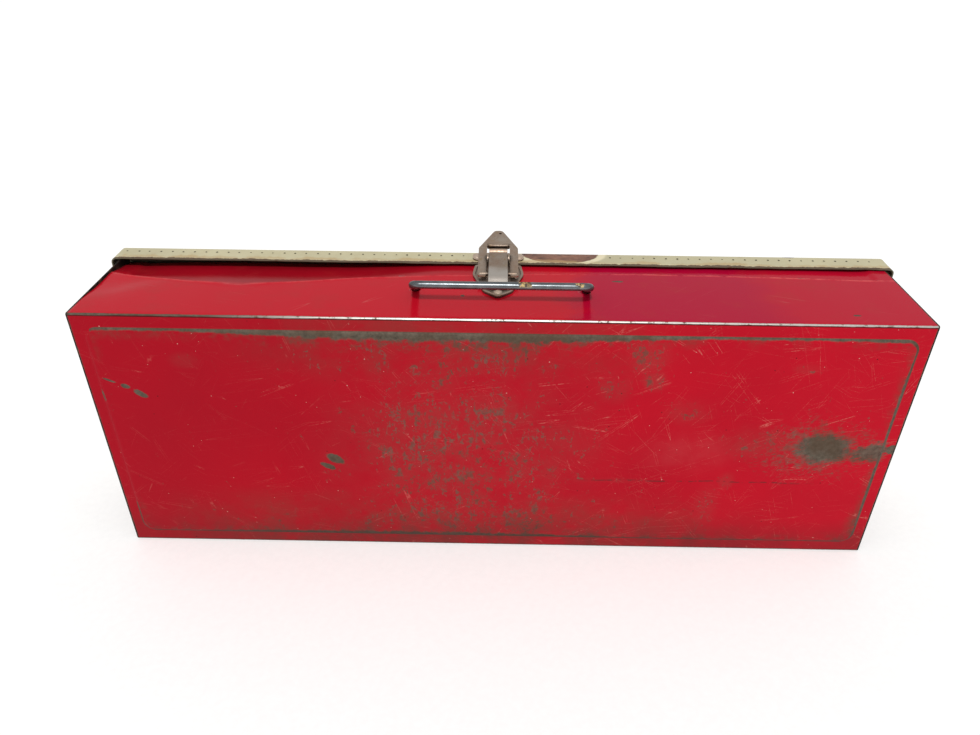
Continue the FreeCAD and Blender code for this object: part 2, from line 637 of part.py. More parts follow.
def build_latch_base():
    """Shield-shaped plate with a raised border and two ears for the lever's pin."""
    plate = body("latch_base_blank")
    face = sketch_on(plate, "latch_base_outline", "XY_Plane", "0")
    outline(face, shield("0"))
    pad(plate, "latch_base_sheet", face, "latch_steel + plate_rim")
    field = sketch_on(plate, "latch_base_field_outline", "XY_Plane", "latch_steel + plate_rim")
    outline(field, shield("1.6"))
    pocket(plate, "latch_base_field", field, "plate_rim")
    for side, sign in (("left", "-"), ("right", "")):
        ear = sketch_on(plate, f"ear_{side}_outline", "YZ_Plane", f"{sign}(lever_width / 2 + lever_side_gap)")
        outline(ear, [("-ear_half - 1", "latch_steel / 2"), ("ear_half + 1", "latch_steel / 2"),
                      ("ear_half", "latch_rise + 3", "ear_half - 0.5"),
                      ("-ear_half", "latch_rise + 3", "ear_half - 0.5")])
        pad(plate, f"ear_{side}", ear, "latch_steel", turned=side == "left")
    stand(plate, "latch_offset", LATCH_Y, TOP)
    bore = bar("latch_ear_bore", ("latch_offset - lever_width", LATCH_Y, LATCH_Z), "X",
               "lever_pin", "2 * lever_width")
    rivets, holes = [], []
    for i, (x, y) in enumerate(latch_rivet_spots()):
        seat = (f"latch_offset + {x}", f"{LATCH_Y} + {y}", f"{TOP} + latch_steel")
        grip = "latch_steel + sheet"
        rivets.append(rivet(f"latch_base_rivet_{i}", seat, "Z", grip))
        holes.append(rivet_hole(f"latch_base_hole_{i}", seat, "Z", grip))
    keep("latch_base_plate", take("latch_base_plate", plate, [bore] + holes))
    keep("latch_base_rivets", group("latch_base_rivets", rivets))
    half = "(lever_width / 2 + lever_side_gap + latch_steel)"
    keep("latch_lever_pin", bar("latch_lever_pin", (f"latch_offset - {half}", LATCH_Y, LATCH_Z), "X",
                                "lever_pin", f"2 * {half}"))


def build_lever():
    """Channel-shaped lever with a turned-down thumb end."""
    lever = body("latch_lever_blank")
    strap = sketch_on(lever, "lever_strap_outline", "YZ_Plane", "0")
    lip = [("5", "3.7", "7"), ("0", "0", "3"), ("-0.6", "-1.5"), ("0.4", "-1.7"), ("0.8", "-0.6", "2.2"),
           ("4.8", "3.7 - 1.05 * latch_steel", "6")]
    outline(strap, [("2.4", "2.6")] + [(f"{u} - lever_reach", f"{v} - lever_dip", *r) for u, v, *r in lip]
            + [("2.4", "2.6 - latch_steel")])
    pad(lever, "lever_strap", strap, "lever_width", side="Symmetric")
    for side, sign in (("left", "-"), ("right", "")):
        cheek = sketch_on(lever, f"lever_cheek_{side}_outline", "YZ_Plane", f"{sign}(lever_width / 2)")
        outline(cheek, [("2.7", "2.7", "2.5"), ("2.7", "-2.7", "2.5"),
                        ("-link_pivot - 1.2", "-link_low - 2.7", "2.4"),
                        ("-link_pivot - 5.5", "-1.2", "1"), ("-link_pivot + 2", "0.1")])
        pad(lever, f"lever_cheek_{side}", cheek, "latch_steel", turned=side == "right")
    stand(lever, "latch_offset", LATCH_Y, LATCH_Z)
    start = "latch_offset - lever_width"
    pin = bar("lever_pin_bore", (start, LATCH_Y, LATCH_Z), "X", "lever_pin + running", "2 * lever_width")
    foot = bar("lever_foot_bore", (start, LINK_Y, LINK_Z), "X", "trunnion + running", "2 * lever_width")
    keep("latch_lever", take("latch_lever", lever, [pin, foot]))


def build_link():
    """Yoke whose inturned feet hang in the lever and whose arch goes over the strike's hook."""
    link = body("latch_link")
    inner = "(lever_width / 2 + 2 * lever_side_gap + latch_steel + 0.05)"
    outer = f"({inner} + link_arm)"
    right = [(inner, "-2.6", "0.8"), (outer, "-2.6", "1.5"), (outer, "link_tip - 21", "4"),
             ("2.6", "link_tip", "3")]
    left = [(f"-{u}", v, r) for u, v, r in right[::-1]]
    arch = [(f"-{inner}", "link_reach", "2"), (inner, "link_reach", "2")]
    face = sketch_on(link, "link_outline", "XY_Plane", "0")
    outline(face, right + left + arch)
    circle(face, "1.2", "link_tip - 3.5", "seal_hole")
    pad(link, "link_plate", face, "link_steel", side="Symmetric")
    for side, sign in (("left", "-"), ("right", "")):
        foot = sketch_on(link, f"link_foot_{side}_outline", "YZ_Plane", f"{sign}({outer} - 1)")
        circle(foot, "0", "0", "trunnion")
        pad(link, f"link_foot_{side}", foot, f"{outer} - 1 - (lever_width / 2 - 1.5 * latch_steel)",
            turned=side == "right")
    stand(link, "latch_offset", LINK_Y, LINK_Z, Rotation(Vector(1, 0, 0), value("link_tilt")))
    link.setExpression("Placement.Rotation.Angle", formula("link_tilt"))
    keep("latch_link", link)


STRIKE_Y = f"({LINK_Y} + link_reach * cos(link_tilt) - 2 * hook_bend - 0.3)"


def strike_rivet_spots():
    """Rivets of the strike plate, outside the link's arms."""
    y = f"{STRIKE_Y} + 1 + strike_depth / 2"
    return [(f"latch_offset {sign} (strike_half - 3)", y) for sign in ("-", "+")]


def build_strike():
    """Plate on the lid's flange with a tongue curled over into a hook."""
    strike = body("strike_blank")
    side = sketch_on(strike, "hook_section", "YZ_Plane", "0")
    crest = f"({ARCH_LOW} - hook_gap)"
    far = f"({STRIKE_Y} + 2 * hook_bend)"
    outline(side, [
        (f"{STRIKE_Y}", LID_TOP), (f"{STRIKE_Y} + latch_steel", LID_TOP),
        (f"{STRIKE_Y} + latch_steel", f"{crest} - latch_steel", "hook_bend - latch_steel - 0.05"),
        (f"{far} - latch_steel", f"{crest} - latch_steel", "hook_bend - latch_steel - 0.05"),
        (f"{far} - latch_steel", f"{crest} - 1.8 * hook_bend"), (far, f"{crest} - 1.8 * hook_bend"),
        (far, crest, "hook_bend - 0.05"), (STRIKE_Y, crest, "hook_bend - 0.05"),
    ])
    pad(strike, "hook", side, "lever_width", side="Symmetric")
    face = sketch_on(strike, "strike_outline", "XY_Plane", LID_TOP)
    outline(face, [("-strike_half", f"{STRIKE_Y} + 1", "4"), ("-lever_width / 2 - 1", f"{STRIKE_Y} + 1"),
                   ("-lever_width / 2", STRIKE_Y), ("lever_width / 2", STRIKE_Y),
                   ("lever_width / 2 + 1", f"{STRIKE_Y} + 1"), ("strike_half", f"{STRIKE_Y} + 1", "4"),
                   ("strike_half", f"{STRIKE_Y} + 1 + strike_depth", "4"),
                   ("-strike_half", f"{STRIKE_Y} + 1 + strike_depth", "4")])
    pad(strike, "strike_sheet", face, "latch_steel")
    stand(strike, "latch_offset")
    rivets, holes = [], []
    for i, (x, y) in enumerate(strike_rivet_spots()):
        seat, grip = (x, y, f"{LID_TOP} + latch_steel"), "latch_steel + sheet"
        rivets.append(rivet(f"strike_rivet_{i}", seat, "Z", grip))
        holes.append(rivet_hole(f"strike_hole_{i}", seat, "Z", grip))
    keep("strike_plate", take("strike_plate", strike, holes))
    keep("strike_rivets", group("strike_rivets", rivets))


# ---- the tray ----

def build_tray():
    """A shallow open pan with a folded hem, three dividers and a riveted strap handle."""
    low, high = "tray_low", TRAY_TOP
    tray = keep("tray_pan", body("tray_pan"))
    floor = sketch_on(tray, "tray_outline", "XZ_Plane", f"-{TRAY_FLOOR}")
    hem = "tray_sheet"
    outline(floor, rectangle(f"-{TRAY_HALF} + {hem}", f"{low} + {hem}", f"{TRAY_HALF} - {hem}",
                             f"{high} - {hem}", "tray_corner - tray_sheet"))
    pad(tray, "tray_block", floor, "tray_depth", turned=True)
    band = sketch_on(tray, "tray_hem_outline", "XZ_Plane", f"-{TRAY_RIM}")
    outline(band, rectangle(f"-{TRAY_HALF}", low, TRAY_HALF, high, "tray_corner"))
    pad(tray, "tray_hem", band, "tray_hem")
    inside = sketch_on(tray, "tray_inside", "XZ_Plane", f"-({TRAY_FLOOR} + tray_sheet)")
    skin = f"({hem} + tray_sheet)"
    outline(inside, rectangle(f"-{TRAY_HALF} + {skin}", f"{low} + {skin}", f"{TRAY_HALF} - {skin}",
                              f"{high} - {skin}", "tray_corner - 2 * tray_sheet"))
    pocket(tray, "tray_hollow", inside, "tray_depth", turned=False)
    holes = sketch_on(tray, "tray_floor_holes", "XZ_Plane", f"-({TRAY_FLOOR} - 1)")
    for sign in ("-", ""):
        circle(holes, f"{sign}({STRAP_RIVET})", STRAP_Z, "tray_rivet")
    pocket(tray, "tray_rivet_holes", holes, "tray_sheet + 2", turned=False)


TRAY_SKIN = "(2 * tray_sheet)"
LONG_Z = f"(tray_low + divider_long_place * ({TRAY_TOP} - tray_low))"
STRAP_Z = f"(tray_low + 0.4 * ({TRAY_TOP} - tray_low))"
STRAP_RIVET = "(strap_half + strap_foot / 2)"


def build_tray_fittings():
    """Folded dividers with a foot on the floor, and the strap handle with its rivets."""
    floor = f"({TRAY_FLOOR} + tray_sheet)"
    top = f"({TRAY_RIM} - divider_rim)"
    end = f"({TRAY_HALF} - {TRAY_SKIN})"
    thin = "tray_sheet"
    long_parts = [
        block("divider_long_wall", (f"-{end}", floor, LONG_Z), (end, top, f"{LONG_Z} + {thin}")),
        block("divider_long_foot", (f"-{end} + 5", floor, LONG_Z), (f"{end} - 5", f"{floor} + {thin}",
                                                                   f"{LONG_Z} + divider_foot")),
    ]
    keep("tray_divider_long", join("tray_divider_long", long_parts))
    z_top = f"({TRAY_TOP} - {TRAY_SKIN})"
    spans = {"left": (f"{LONG_Z} + {thin}", z_top, "-"), "right": (f"{LONG_Z} + {thin}", z_top, "")}
    for side, (start, stop, sign) in spans.items():
        node = f"tray_divider_{side}"
        x = f"({sign}divider_cross_place)"
        wall = block(node + "_wall", (x, floor, f"{start} + divider_foot"), (f"{x} + {thin}", top, stop))
        gusset = block(node + "_gusset", (x, f"{floor} + {thin}", start), (f"{x} + {thin}", top, f"{start} + divider_foot + 1"))
        foot = block(node + "_foot", (x, floor, f"{start} + divider_foot + 2"),
                     (f"{x} + divider_foot", f"{floor} + {thin}", f"{stop} - 4"))
        keep(node, join(node, [wall, gusset, foot]))
    z1, z2 = f"{STRAP_Z} - strap_width / 2", f"{STRAP_Z} + strap_width / 2"
    crown = f"({TRAY_RIM} - strap_below)"
    pieces = [block("strap_grip", ("-strap_half", f"{crown} - strap_steel", z1), ("strap_half", crown, z2))]
    rivets, holes = [], []
    for side, sign in (("left", "-1"), ("right", "1")):
        a, b = ("-strap_half", "-strap_half + strap_steel") if side == "left" else (
            "strap_half - strap_steel", "strap_half")
        pieces.append(block(f"strap_leg_{side}", (a, floor, z1), (b, crown, z2)))
        a, b = ("-strap_half - strap_foot", "-strap_half + strap_steel") if side == "left" else (
            "strap_half - strap_steel", "strap_half + strap_foot")
        pieces.append(block(f"strap_foot_{side}", (a, floor, z1), (b, f"{floor} + strap_steel", z2)))
        seat = (f"{sign} * {STRAP_RIVET}", f"{floor} + strap_steel", STRAP_Z)
        rivets.append(join(f"tray_rivet_{side}", [
            dome(f"tray_rivet_{side}_head", seat, "Y", "rivet_head", "rivet_dome"),
            bar(f"tray_rivet_{side}_shank", seat, "-Y", "tray_rivet - rivet_slack", "strap_steel + tray_sheet"),
        ]))
        holes.append(bar(f"strap_hole_{side}", along(seat, "Y", "1"), "-Y", "tray_rivet", "strap_steel + 2"))
    keep("tray_handle", take("tray_handle", join("tray_handle_blank", pieces), holes))
    keep("tray_handle_rivets", group("tray_handle_rivets", rivets))


build_wrap()
build_end_panels()
build_tray_rests()
build_hinge()
build_lid()
build_handle()
build_handle_clips()
build_latch_base()
build_lever()
build_link()
build_strike()
build_tray()
build_tray_fittings()
doc.recompute()

for thing in doc.Objects:
    if "Invalid" in thing.State or "Error" in thing.State:
        raise SystemExit(f"{thing.Label} failed: {thing.State}")
for node, thing in NODES.items():
    if thing.Shape.isNull() or not thing.Shape.isValid() or not thing.Shape.Solids:
        raise SystemExit(f"{node} has no valid solid")

os.makedirs("parts", exist_ok=True)
for node, thing in NODES.items():
    thing.Shape.exportStep(f"parts/{node}.step")
    print(f"{node:22s} {len(thing.Shape.Solids):3d} solids {thing.Shape.Volume / 1000:9.2f} cm3")
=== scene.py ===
"""Looks for a worn flat steel toolbox that stands on its hinged edge."""

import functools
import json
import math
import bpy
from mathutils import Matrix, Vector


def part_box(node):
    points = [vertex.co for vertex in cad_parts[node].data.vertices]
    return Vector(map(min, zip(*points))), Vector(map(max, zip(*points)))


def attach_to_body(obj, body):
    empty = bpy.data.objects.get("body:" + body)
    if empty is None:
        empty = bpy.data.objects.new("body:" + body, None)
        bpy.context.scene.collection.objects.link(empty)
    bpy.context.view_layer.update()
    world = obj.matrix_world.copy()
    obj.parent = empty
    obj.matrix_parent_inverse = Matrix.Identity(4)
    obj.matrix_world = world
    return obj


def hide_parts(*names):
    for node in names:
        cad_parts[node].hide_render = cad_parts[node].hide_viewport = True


bl_info = {
    "name": "Worn Flat Toolbox",
    "version": (1, 0, 0),
    "blender": (4, 5, 0),
    "location": "3D View > Sidebar > Toolbox",
    "description": "Builds the visible pieces and finishes of a worn flat toolbox around its frame",
    "category": "Object",
}

import bmesh
import bpy
import numpy as np
from mathutils import Matrix, Vector

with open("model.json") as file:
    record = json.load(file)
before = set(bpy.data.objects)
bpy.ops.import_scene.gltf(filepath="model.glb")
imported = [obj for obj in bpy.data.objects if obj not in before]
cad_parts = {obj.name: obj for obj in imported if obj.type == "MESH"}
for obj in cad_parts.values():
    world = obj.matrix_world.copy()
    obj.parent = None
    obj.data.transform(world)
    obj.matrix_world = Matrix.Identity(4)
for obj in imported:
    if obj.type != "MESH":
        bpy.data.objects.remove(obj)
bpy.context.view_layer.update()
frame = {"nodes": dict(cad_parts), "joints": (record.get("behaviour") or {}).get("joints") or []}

MM = 0.001


# ---- places read from the frame ----

WRAP_LOW, WRAP_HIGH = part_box("case_wrap")
LID_LOW, LID_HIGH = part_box("lid_pan")
END_LOW, END_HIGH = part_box("end_panel_right")
PIN_LOW, PIN_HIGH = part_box("hinge_pin")
RISE = 1.4 * MM
SHEET = 0.9 * MM
HALF = WRAP_HIGH.x
BACK = WRAP_LOW.y + RISE
RIM = WRAP_HIGH.y
TOP = WRAP_HIGH.z
WALL_END = (PIN_LOW.y + PIN_HIGH.y) / 2 - 3.2 * MM
LEG_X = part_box("carry_handle")[1].x - 14 * MM
LATCH_X = sum(corner.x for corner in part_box("latch_link")) / 2


def length(name, description, millimetres):
    """A length in the toolbox's panel."""
    return bpy.props.FloatProperty(
        name=name, description=description, default=millimetres * MM, unit="LENGTH", precision=5)


def tint(name, description, colour):
    """A colour in the toolbox's panel."""
    return bpy.props.FloatVectorProperty(
        name=name, description=description, subtype="COLOR", size=3, min=0, max=1, default=colour)


class ToolboxSizes(bpy.types.PropertyGroup):
    """Sizes and colours of the toolbox's visible pieces."""

    fold: length("Fold radius", "Outside radius of the folded edges", 1.3)
    field_inset: length("Field inset", "Panel's long edges to the foot of the raised field", 8.6)
    field_side: length("Field side", "Panel's short edges to the foot of the raised field", 6.4)
    field_corner: length("Field corner", "Corner radius of the raised field", 9)
    field_slope: length("Field slope", "Width of the raised field's slanted border", 2.4)
    sag: length("Sag", "How far the handle face is pushed in at the rim's left end", 4.6)
    step_drop: length("Step", "Depth of the step in the handle face under the lid's flange", 1.0)
    dot_pitch: length("Dot pitch", "Distance between the dots on the lid's flange", 7.55)
    red: tint("Red enamel", "Colour of the pan's enamel", (0.49, 0.0045, 0.017))
    cream: tint("Cream enamel", "Colour of the lid's enamel", (0.53, 0.485, 0.31))
    bare: tint("Bare steel", "Colour of the steel where the enamel has worn off", (0.112, 0.092, 0.070))


# ---- small mesh helpers ----

def place_mesh(mesh, *materials):
    """A new object for a mesh, with its materials."""
    for material in materials:
        mesh.materials.append(material)
    piece = bpy.data.objects.new(mesh.name, mesh)
    bpy.context.collection.objects.link(piece)
    return piece


def new_piece(name, vertices, faces, materials, smooth=True):
    """A mesh object from points and faces."""
    mesh = bpy.data.meshes.new(name)
    mesh.from_pydata([tuple(v) for v in vertices], [], [tuple(f) for f in faces])
    mesh.validate()
    mesh.polygons.foreach_set("use_smooth", [smooth] * len(mesh.polygons))
    return place_mesh(mesh, *materials)


def pour(mesh, name, *materials):
    """Turn a bmesh into an object of its own, and free it."""
    data = bpy.data.meshes.new(name)
    mesh.to_mesh(data)
    mesh.free()
    return place_mesh(data, *materials)


def mend(piece):
    """Drop loose points and turn every face outwards."""
    mesh = bmesh.new()
    mesh.from_mesh(piece.data)
    bmesh.ops.delete(mesh, geom=[v for v in mesh.verts if not v.link_faces], context="VERTS")
    bmesh.ops.recalc_face_normals(mesh, faces=mesh.faces)
    mesh.to_mesh(piece.data)
    mesh.free()


def raise_face(mesh, face, way):
    """Extrude a bmesh face, and move its copy."""
    lifted = bmesh.ops.extrude_face_region(mesh, geom=[face])["geom"]
    bmesh.ops.translate(mesh, verts=[part for part in lifted if isinstance(part, bmesh.types.BMVert)], vec=way)
    bmesh.ops.recalc_face_normals(mesh, faces=mesh.faces)


def joint_place(name):
    """A joint's place, in metres."""
    return Vector(next(joint for joint in frame["joints"] if joint["name"] == name)["pos_m"])


def settle(piece):
    """Turn a piece and its modifiers into a plain mesh."""
    depsgraph = bpy.context.evaluated_depsgraph_get()
    mesh = bpy.data.meshes.new_from_object(piece.evaluated_get(depsgraph), depsgraph=depsgraph)
    piece.modifiers.clear()
    piece.data = mesh
    mesh.name = piece.name
    return piece


def attach(piece, body, slot, *nodes):
    """Say which body a piece rides on and the nodes that it stands for; slot is not used."""
    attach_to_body(piece, body)
    if nodes:
        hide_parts(*nodes)
    return piece


def graded(low, high, edges, coarse, fine, reach):
    """Places from low to high, closer together near the edges."""
    places = [low]
    while places[-1] < high - 1e-7:
        gap = min(abs(places[-1] - edge) for edge in edges)
        step = fine if gap < reach else min(coarse, gap - reach + fine)
        places.append(min(high, places[-1] + step))
    return np.array(places)


def ease(value):
    """Smooth step between 0 and 1."""
    value = np.clip(value, 0, 1)
    return value * value * (3 - 2 * value)


def border_distance(x, z, half_x, low, high, radius):
    """Distance outside a rounded rectangle, negative inside."""
    qx = np.abs(x) - (half_x - radius)
    qz = np.abs(z - (low + high) / 2) - ((high - low) / 2 - radius)
    outside = np.hypot(np.maximum(qx, 0), np.maximum(qz, 0))
    return outside + np.minimum(np.maximum(qx, qz), 0) - radius


def waver(values, wave, seed):
    """A gentle, repeatable wander between -1 and 1."""
    total = 0
    for i, share in enumerate((0.5, 0.3, 0.2)):
        total = total + share * np.sin(values / wave * (1.7 ** i) * 2 * math.pi + seed * (i + 1) * 2.4)
    return total


def grid_faces(rows, columns, closed=False):
    """Faces of a grid of points, row by row."""
    faces = []
    for row in range(rows - 1):
        for column in range(columns if closed else columns - 1):
            after = (column + 1) % columns
            a, b = row * columns + column, row * columns + after
            faces.append((a, b, b + columns, a + columns))
    return faces


def thicken(piece, thickness, inner=0):
    """Give a sheet its thickness, inwards, with other materials inside."""
    shell = piece.modifiers.new("sheet", "SOLIDIFY")
    shell.thickness = thickness
    shell.offset = -1
    shell.use_even_offset = True
    shell.material_offset = inner
    shell.material_offset_rim = inner
    return shell


def refined(node, ending, body, slot, finish, bevel, segments=2, angle=32, smooth=38):
    """A copy of a frame node, merged, with its sharp edges softened by a bevel in millimetres."""
    mesh = bmesh.new()
    mesh.from_mesh(frame["nodes"][node].data)
    bmesh.ops.remove_doubles(mesh, verts=mesh.verts, dist=2e-6)
    bmesh.ops.dissolve_limit(mesh, angle_limit=math.radians(1), verts=mesh.verts, edges=mesh.edges)

    def sharper(limit):
        return [edge for edge in mesh.edges
                if len(edge.link_faces) == 2 and edge.calc_face_angle(0) > math.radians(limit)]

    sharp = sharper(angle)
    if bevel:
        bmesh.ops.bevel(mesh, geom=sharp, offset=bevel * MM, segments=segments, profile=0.6,
                        affect="EDGES", clamp_overlap=True)
    for edge in mesh.edges:
        edge.smooth = True
    for edge in sharper(smooth):
        edge.smooth = False
    for face in mesh.faces:
        face.smooth = True
    attach(pour(mesh, node + ending, finish_of(finish)), body, slot, node)


# ---- shader maths ----

class Wire:
    """A number or a vector inside a material, with arithmetic."""

    def __init__(self, finish, socket):
        self.finish = finish
        self.socket = socket

    def maths(self, operation, first, second=0.0, third=0.0):
        return self.finish.node("ShaderNodeMath", {"operation": operation},
                                {0: first, 1: second, 2: third})

    def __add__(self, other):
        return self.maths("ADD", self, other)

    def __radd__(self, other):
        return self.maths("ADD", other, self)

    def __sub__(self, other):
        return self.maths("SUBTRACT", self, other)

    def __rsub__(self, other):
        return self.maths("SUBTRACT", other, self)

    def __mul__(self, other):
        return self.maths("MULTIPLY", self, other)

    def __rmul__(self, other):
        return self.maths("MULTIPLY", other, self)

    def __truediv__(self, other):
        return self.maths("DIVIDE", self, other)

    def __rtruediv__(self, other):
        return self.maths("DIVIDE", other, self)

    def __pow__(self, other):
        return self.maths("POWER", self, other)

    def __neg__(self):
        return self.maths("MULTIPLY", self, -1.0)

    def __abs__(self):
        return self.maths("ABSOLUTE", self)

    def lowest(self, other):
        return self.maths("MINIMUM", self, other)

    def highest(self, other):
        return self.maths("MAXIMUM", self, other)

    def step(self, low, high):
        """0 at low and 1 at high, eased between them; low may be the larger."""
        return self.finish.node("ShaderNodeMapRange", {"interpolation_type": "SMOOTHSTEP"},
                                {"Value": self, "From Min": low, "From Max": high})


class Finish:
    """Builds one material's nodes. Lengths inside it are millimetres."""

    def __init__(self, name, **constants):
        self.material = bpy.data.materials.new(name)
        self.material.use_nodes = True
        self.tree = self.material.node_tree
        self.tree.nodes.clear()
        self.shader = self.node("ShaderNodeBsdfPrincipled", out=None)
        self.wear(**constants)
        surface = Wire(self, self.shader.outputs["BSDF"])
        self.node("ShaderNodeOutputMaterial", values={"Surface": surface}, out=None)
        self.place = self.node("ShaderNodeVectorMath", {"operation": "SCALE"}, {
            0: self.node("ShaderNodeTexCoord", out="Object"), "Scale": 1 / MM})
        self.x, self.y, self.z = self.node("ShaderNodeSeparateXYZ", values={0: self.place}, out=(0, 1, 2))
        facing = self.node("ShaderNodeVectorTransform", {
            "vector_type": "NORMAL", "convert_from": "WORLD", "convert_to": "OBJECT"},
            {0: self.node("ShaderNodeNewGeometry", out="True Normal")})
        self.way_y, self.way_z = self.node("ShaderNodeSeparateXYZ", values={0: facing}, out=(1, 2))

    def fill(self, node, values):
        """Set a node's sockets to values, or link them to wires."""
        for name, value in values.items():
            if isinstance(value, Wire):
                self.tree.links.new(value.socket, node.inputs[name])
            else:
                node.inputs[name].default_value = value

    def node(self, kind, settings=None, values=None, out=0):
        """Add a node; settings first, then the values or wires of its sockets. Gives one output or several."""
        node = self.tree.nodes.new(kind)
        for name, setting in (settings or {}).items():
            setattr(node, name, setting)
        self.fill(node, values or {})
        if out is None:
            return node
        if isinstance(out, tuple):
            return [Wire(self, node.outputs[name]) for name in out]
        return Wire(self, node.outputs[out])

    def spot(self, size, seed=0, stretch=(1, 1, 1), turn=(0, 0, 0)):
        """The place, scaled so that a feature is about size millimetres."""
        return self.node("ShaderNodeMapping", {"vector_type": "POINT"}, {
            "Vector": self.place if turn == (0, 0, 0) else self.node(
                "ShaderNodeVectorRotate", {"rotation_type": "EULER_XYZ"},
                {"Vector": self.place, "Rotation": tuple(math.radians(a) for a in turn)}),
            "Location": (seed * 7.3, seed * 3.1, seed * 5.7),
            "Scale": tuple(part / size for part in stretch)})

    def noise(self, size, seed=0, detail=3.0, rough=0.55, stretch=(1, 1, 1), turn=(0, 0, 0), bend=0.0):
        """Cloudy noise, mostly between 0 and 1."""
        found = self.node("ShaderNodeTexNoise", {"noise_dimensions": "3D"}, {
            "Vector": self.spot(size, seed, stretch, turn), "Scale": 1.0, "Detail": detail,
            "Roughness": rough, "Distortion": bend})
        return self.node("ShaderNodeMapRange", {}, {"Value": found, "From Min": 0.28, "From Max": 0.72})

    def specks(self, size, radius, seed=0, share=0.5):
        """Small round specks, one in some of the cells."""
        distance, colour = self.node("ShaderNodeTexVoronoi", values={
            "Vector": self.spot(size, seed), "Scale": 1.0}, out=("Distance", "Color"))
        pick = self.node("ShaderNodeSeparateColor", values={0: colour})
        return distance.step(radius, radius * 0.5) * pick.step(1 - share, 1 - share + 0.01)

    def scratches(self, size, width, seed, turn, length=30.0, share=0.5, across=(1, 1)):
        """Fine straight scratches that come and go."""
        lines = self.noise(size, seed, detail=1.0, rough=0.3, stretch=(1 / length, across[0], across[1]),
                           turn=turn)
        line = abs(lines - 0.5).step(width, width * 0.2)
        return line * self.noise(size * 3.2, seed + 11, detail=2.0).step(1 - share, 1 - share + 0.25)

    def blend(self, factor, first, second):
        """One colour over another."""
        first, second = (tone if isinstance(tone, Wire) else (*tone, 1) for tone in (first, second))
        return self.node("ShaderNodeMix", {"data_type": "RGBA"}, {0: factor, 6: first, 7: second}, out=2)

    def bump(self, height, distance, strength=1.0):
        """Relief from a height in units of distance, in millimetres."""
        return self.node("ShaderNodeBump", {}, {
            "Height": height, "Distance": distance * MM, "Strength": strength})

    def wear(self, **sockets):
        """Set or link the sockets of the shader."""
        self.fill(self.shader, {name.replace("_", " "): value for name, value in sockets.items()})
        return self.material

    def oval(self, x, z, across, up, lean=0.0, v=None):
        """Distance from an ellipse's centre, 1 at its border."""
        v = self.z if v is None else v
        cos, sin = math.cos(math.radians(lean)), math.sin(math.radians(lean))
        dx, dz = self.x - x, v - z
        a = (dx * cos + dz * sin) / across
        b = (dz * cos - dx * sin) / up
        return (a * a + b * b) ** 0.5

    def border(self, x_half, low, high, radius):
        """Distance outside a rounded rectangle in the XZ plane, negative inside."""
        qx = abs(self.x) - (x_half - radius)
        qz = abs(self.z - (low + high) / 2) - ((high - low) / 2 - radius)
        out_x, out_z = qx.highest(0.0), qz.highest(0.0)
        return (out_x * out_x + out_z * out_z) ** 0.5 + qx.highest(qz).lowest(0.0) - radius


def toned(colour, factor):
    """A colour, darker or lighter by a factor."""
    return tuple(part * factor for part in colour)


def most(wires):
    """The highest of several wires."""
    return functools.reduce(Wire.highest, wires)


# ---- finishes ----

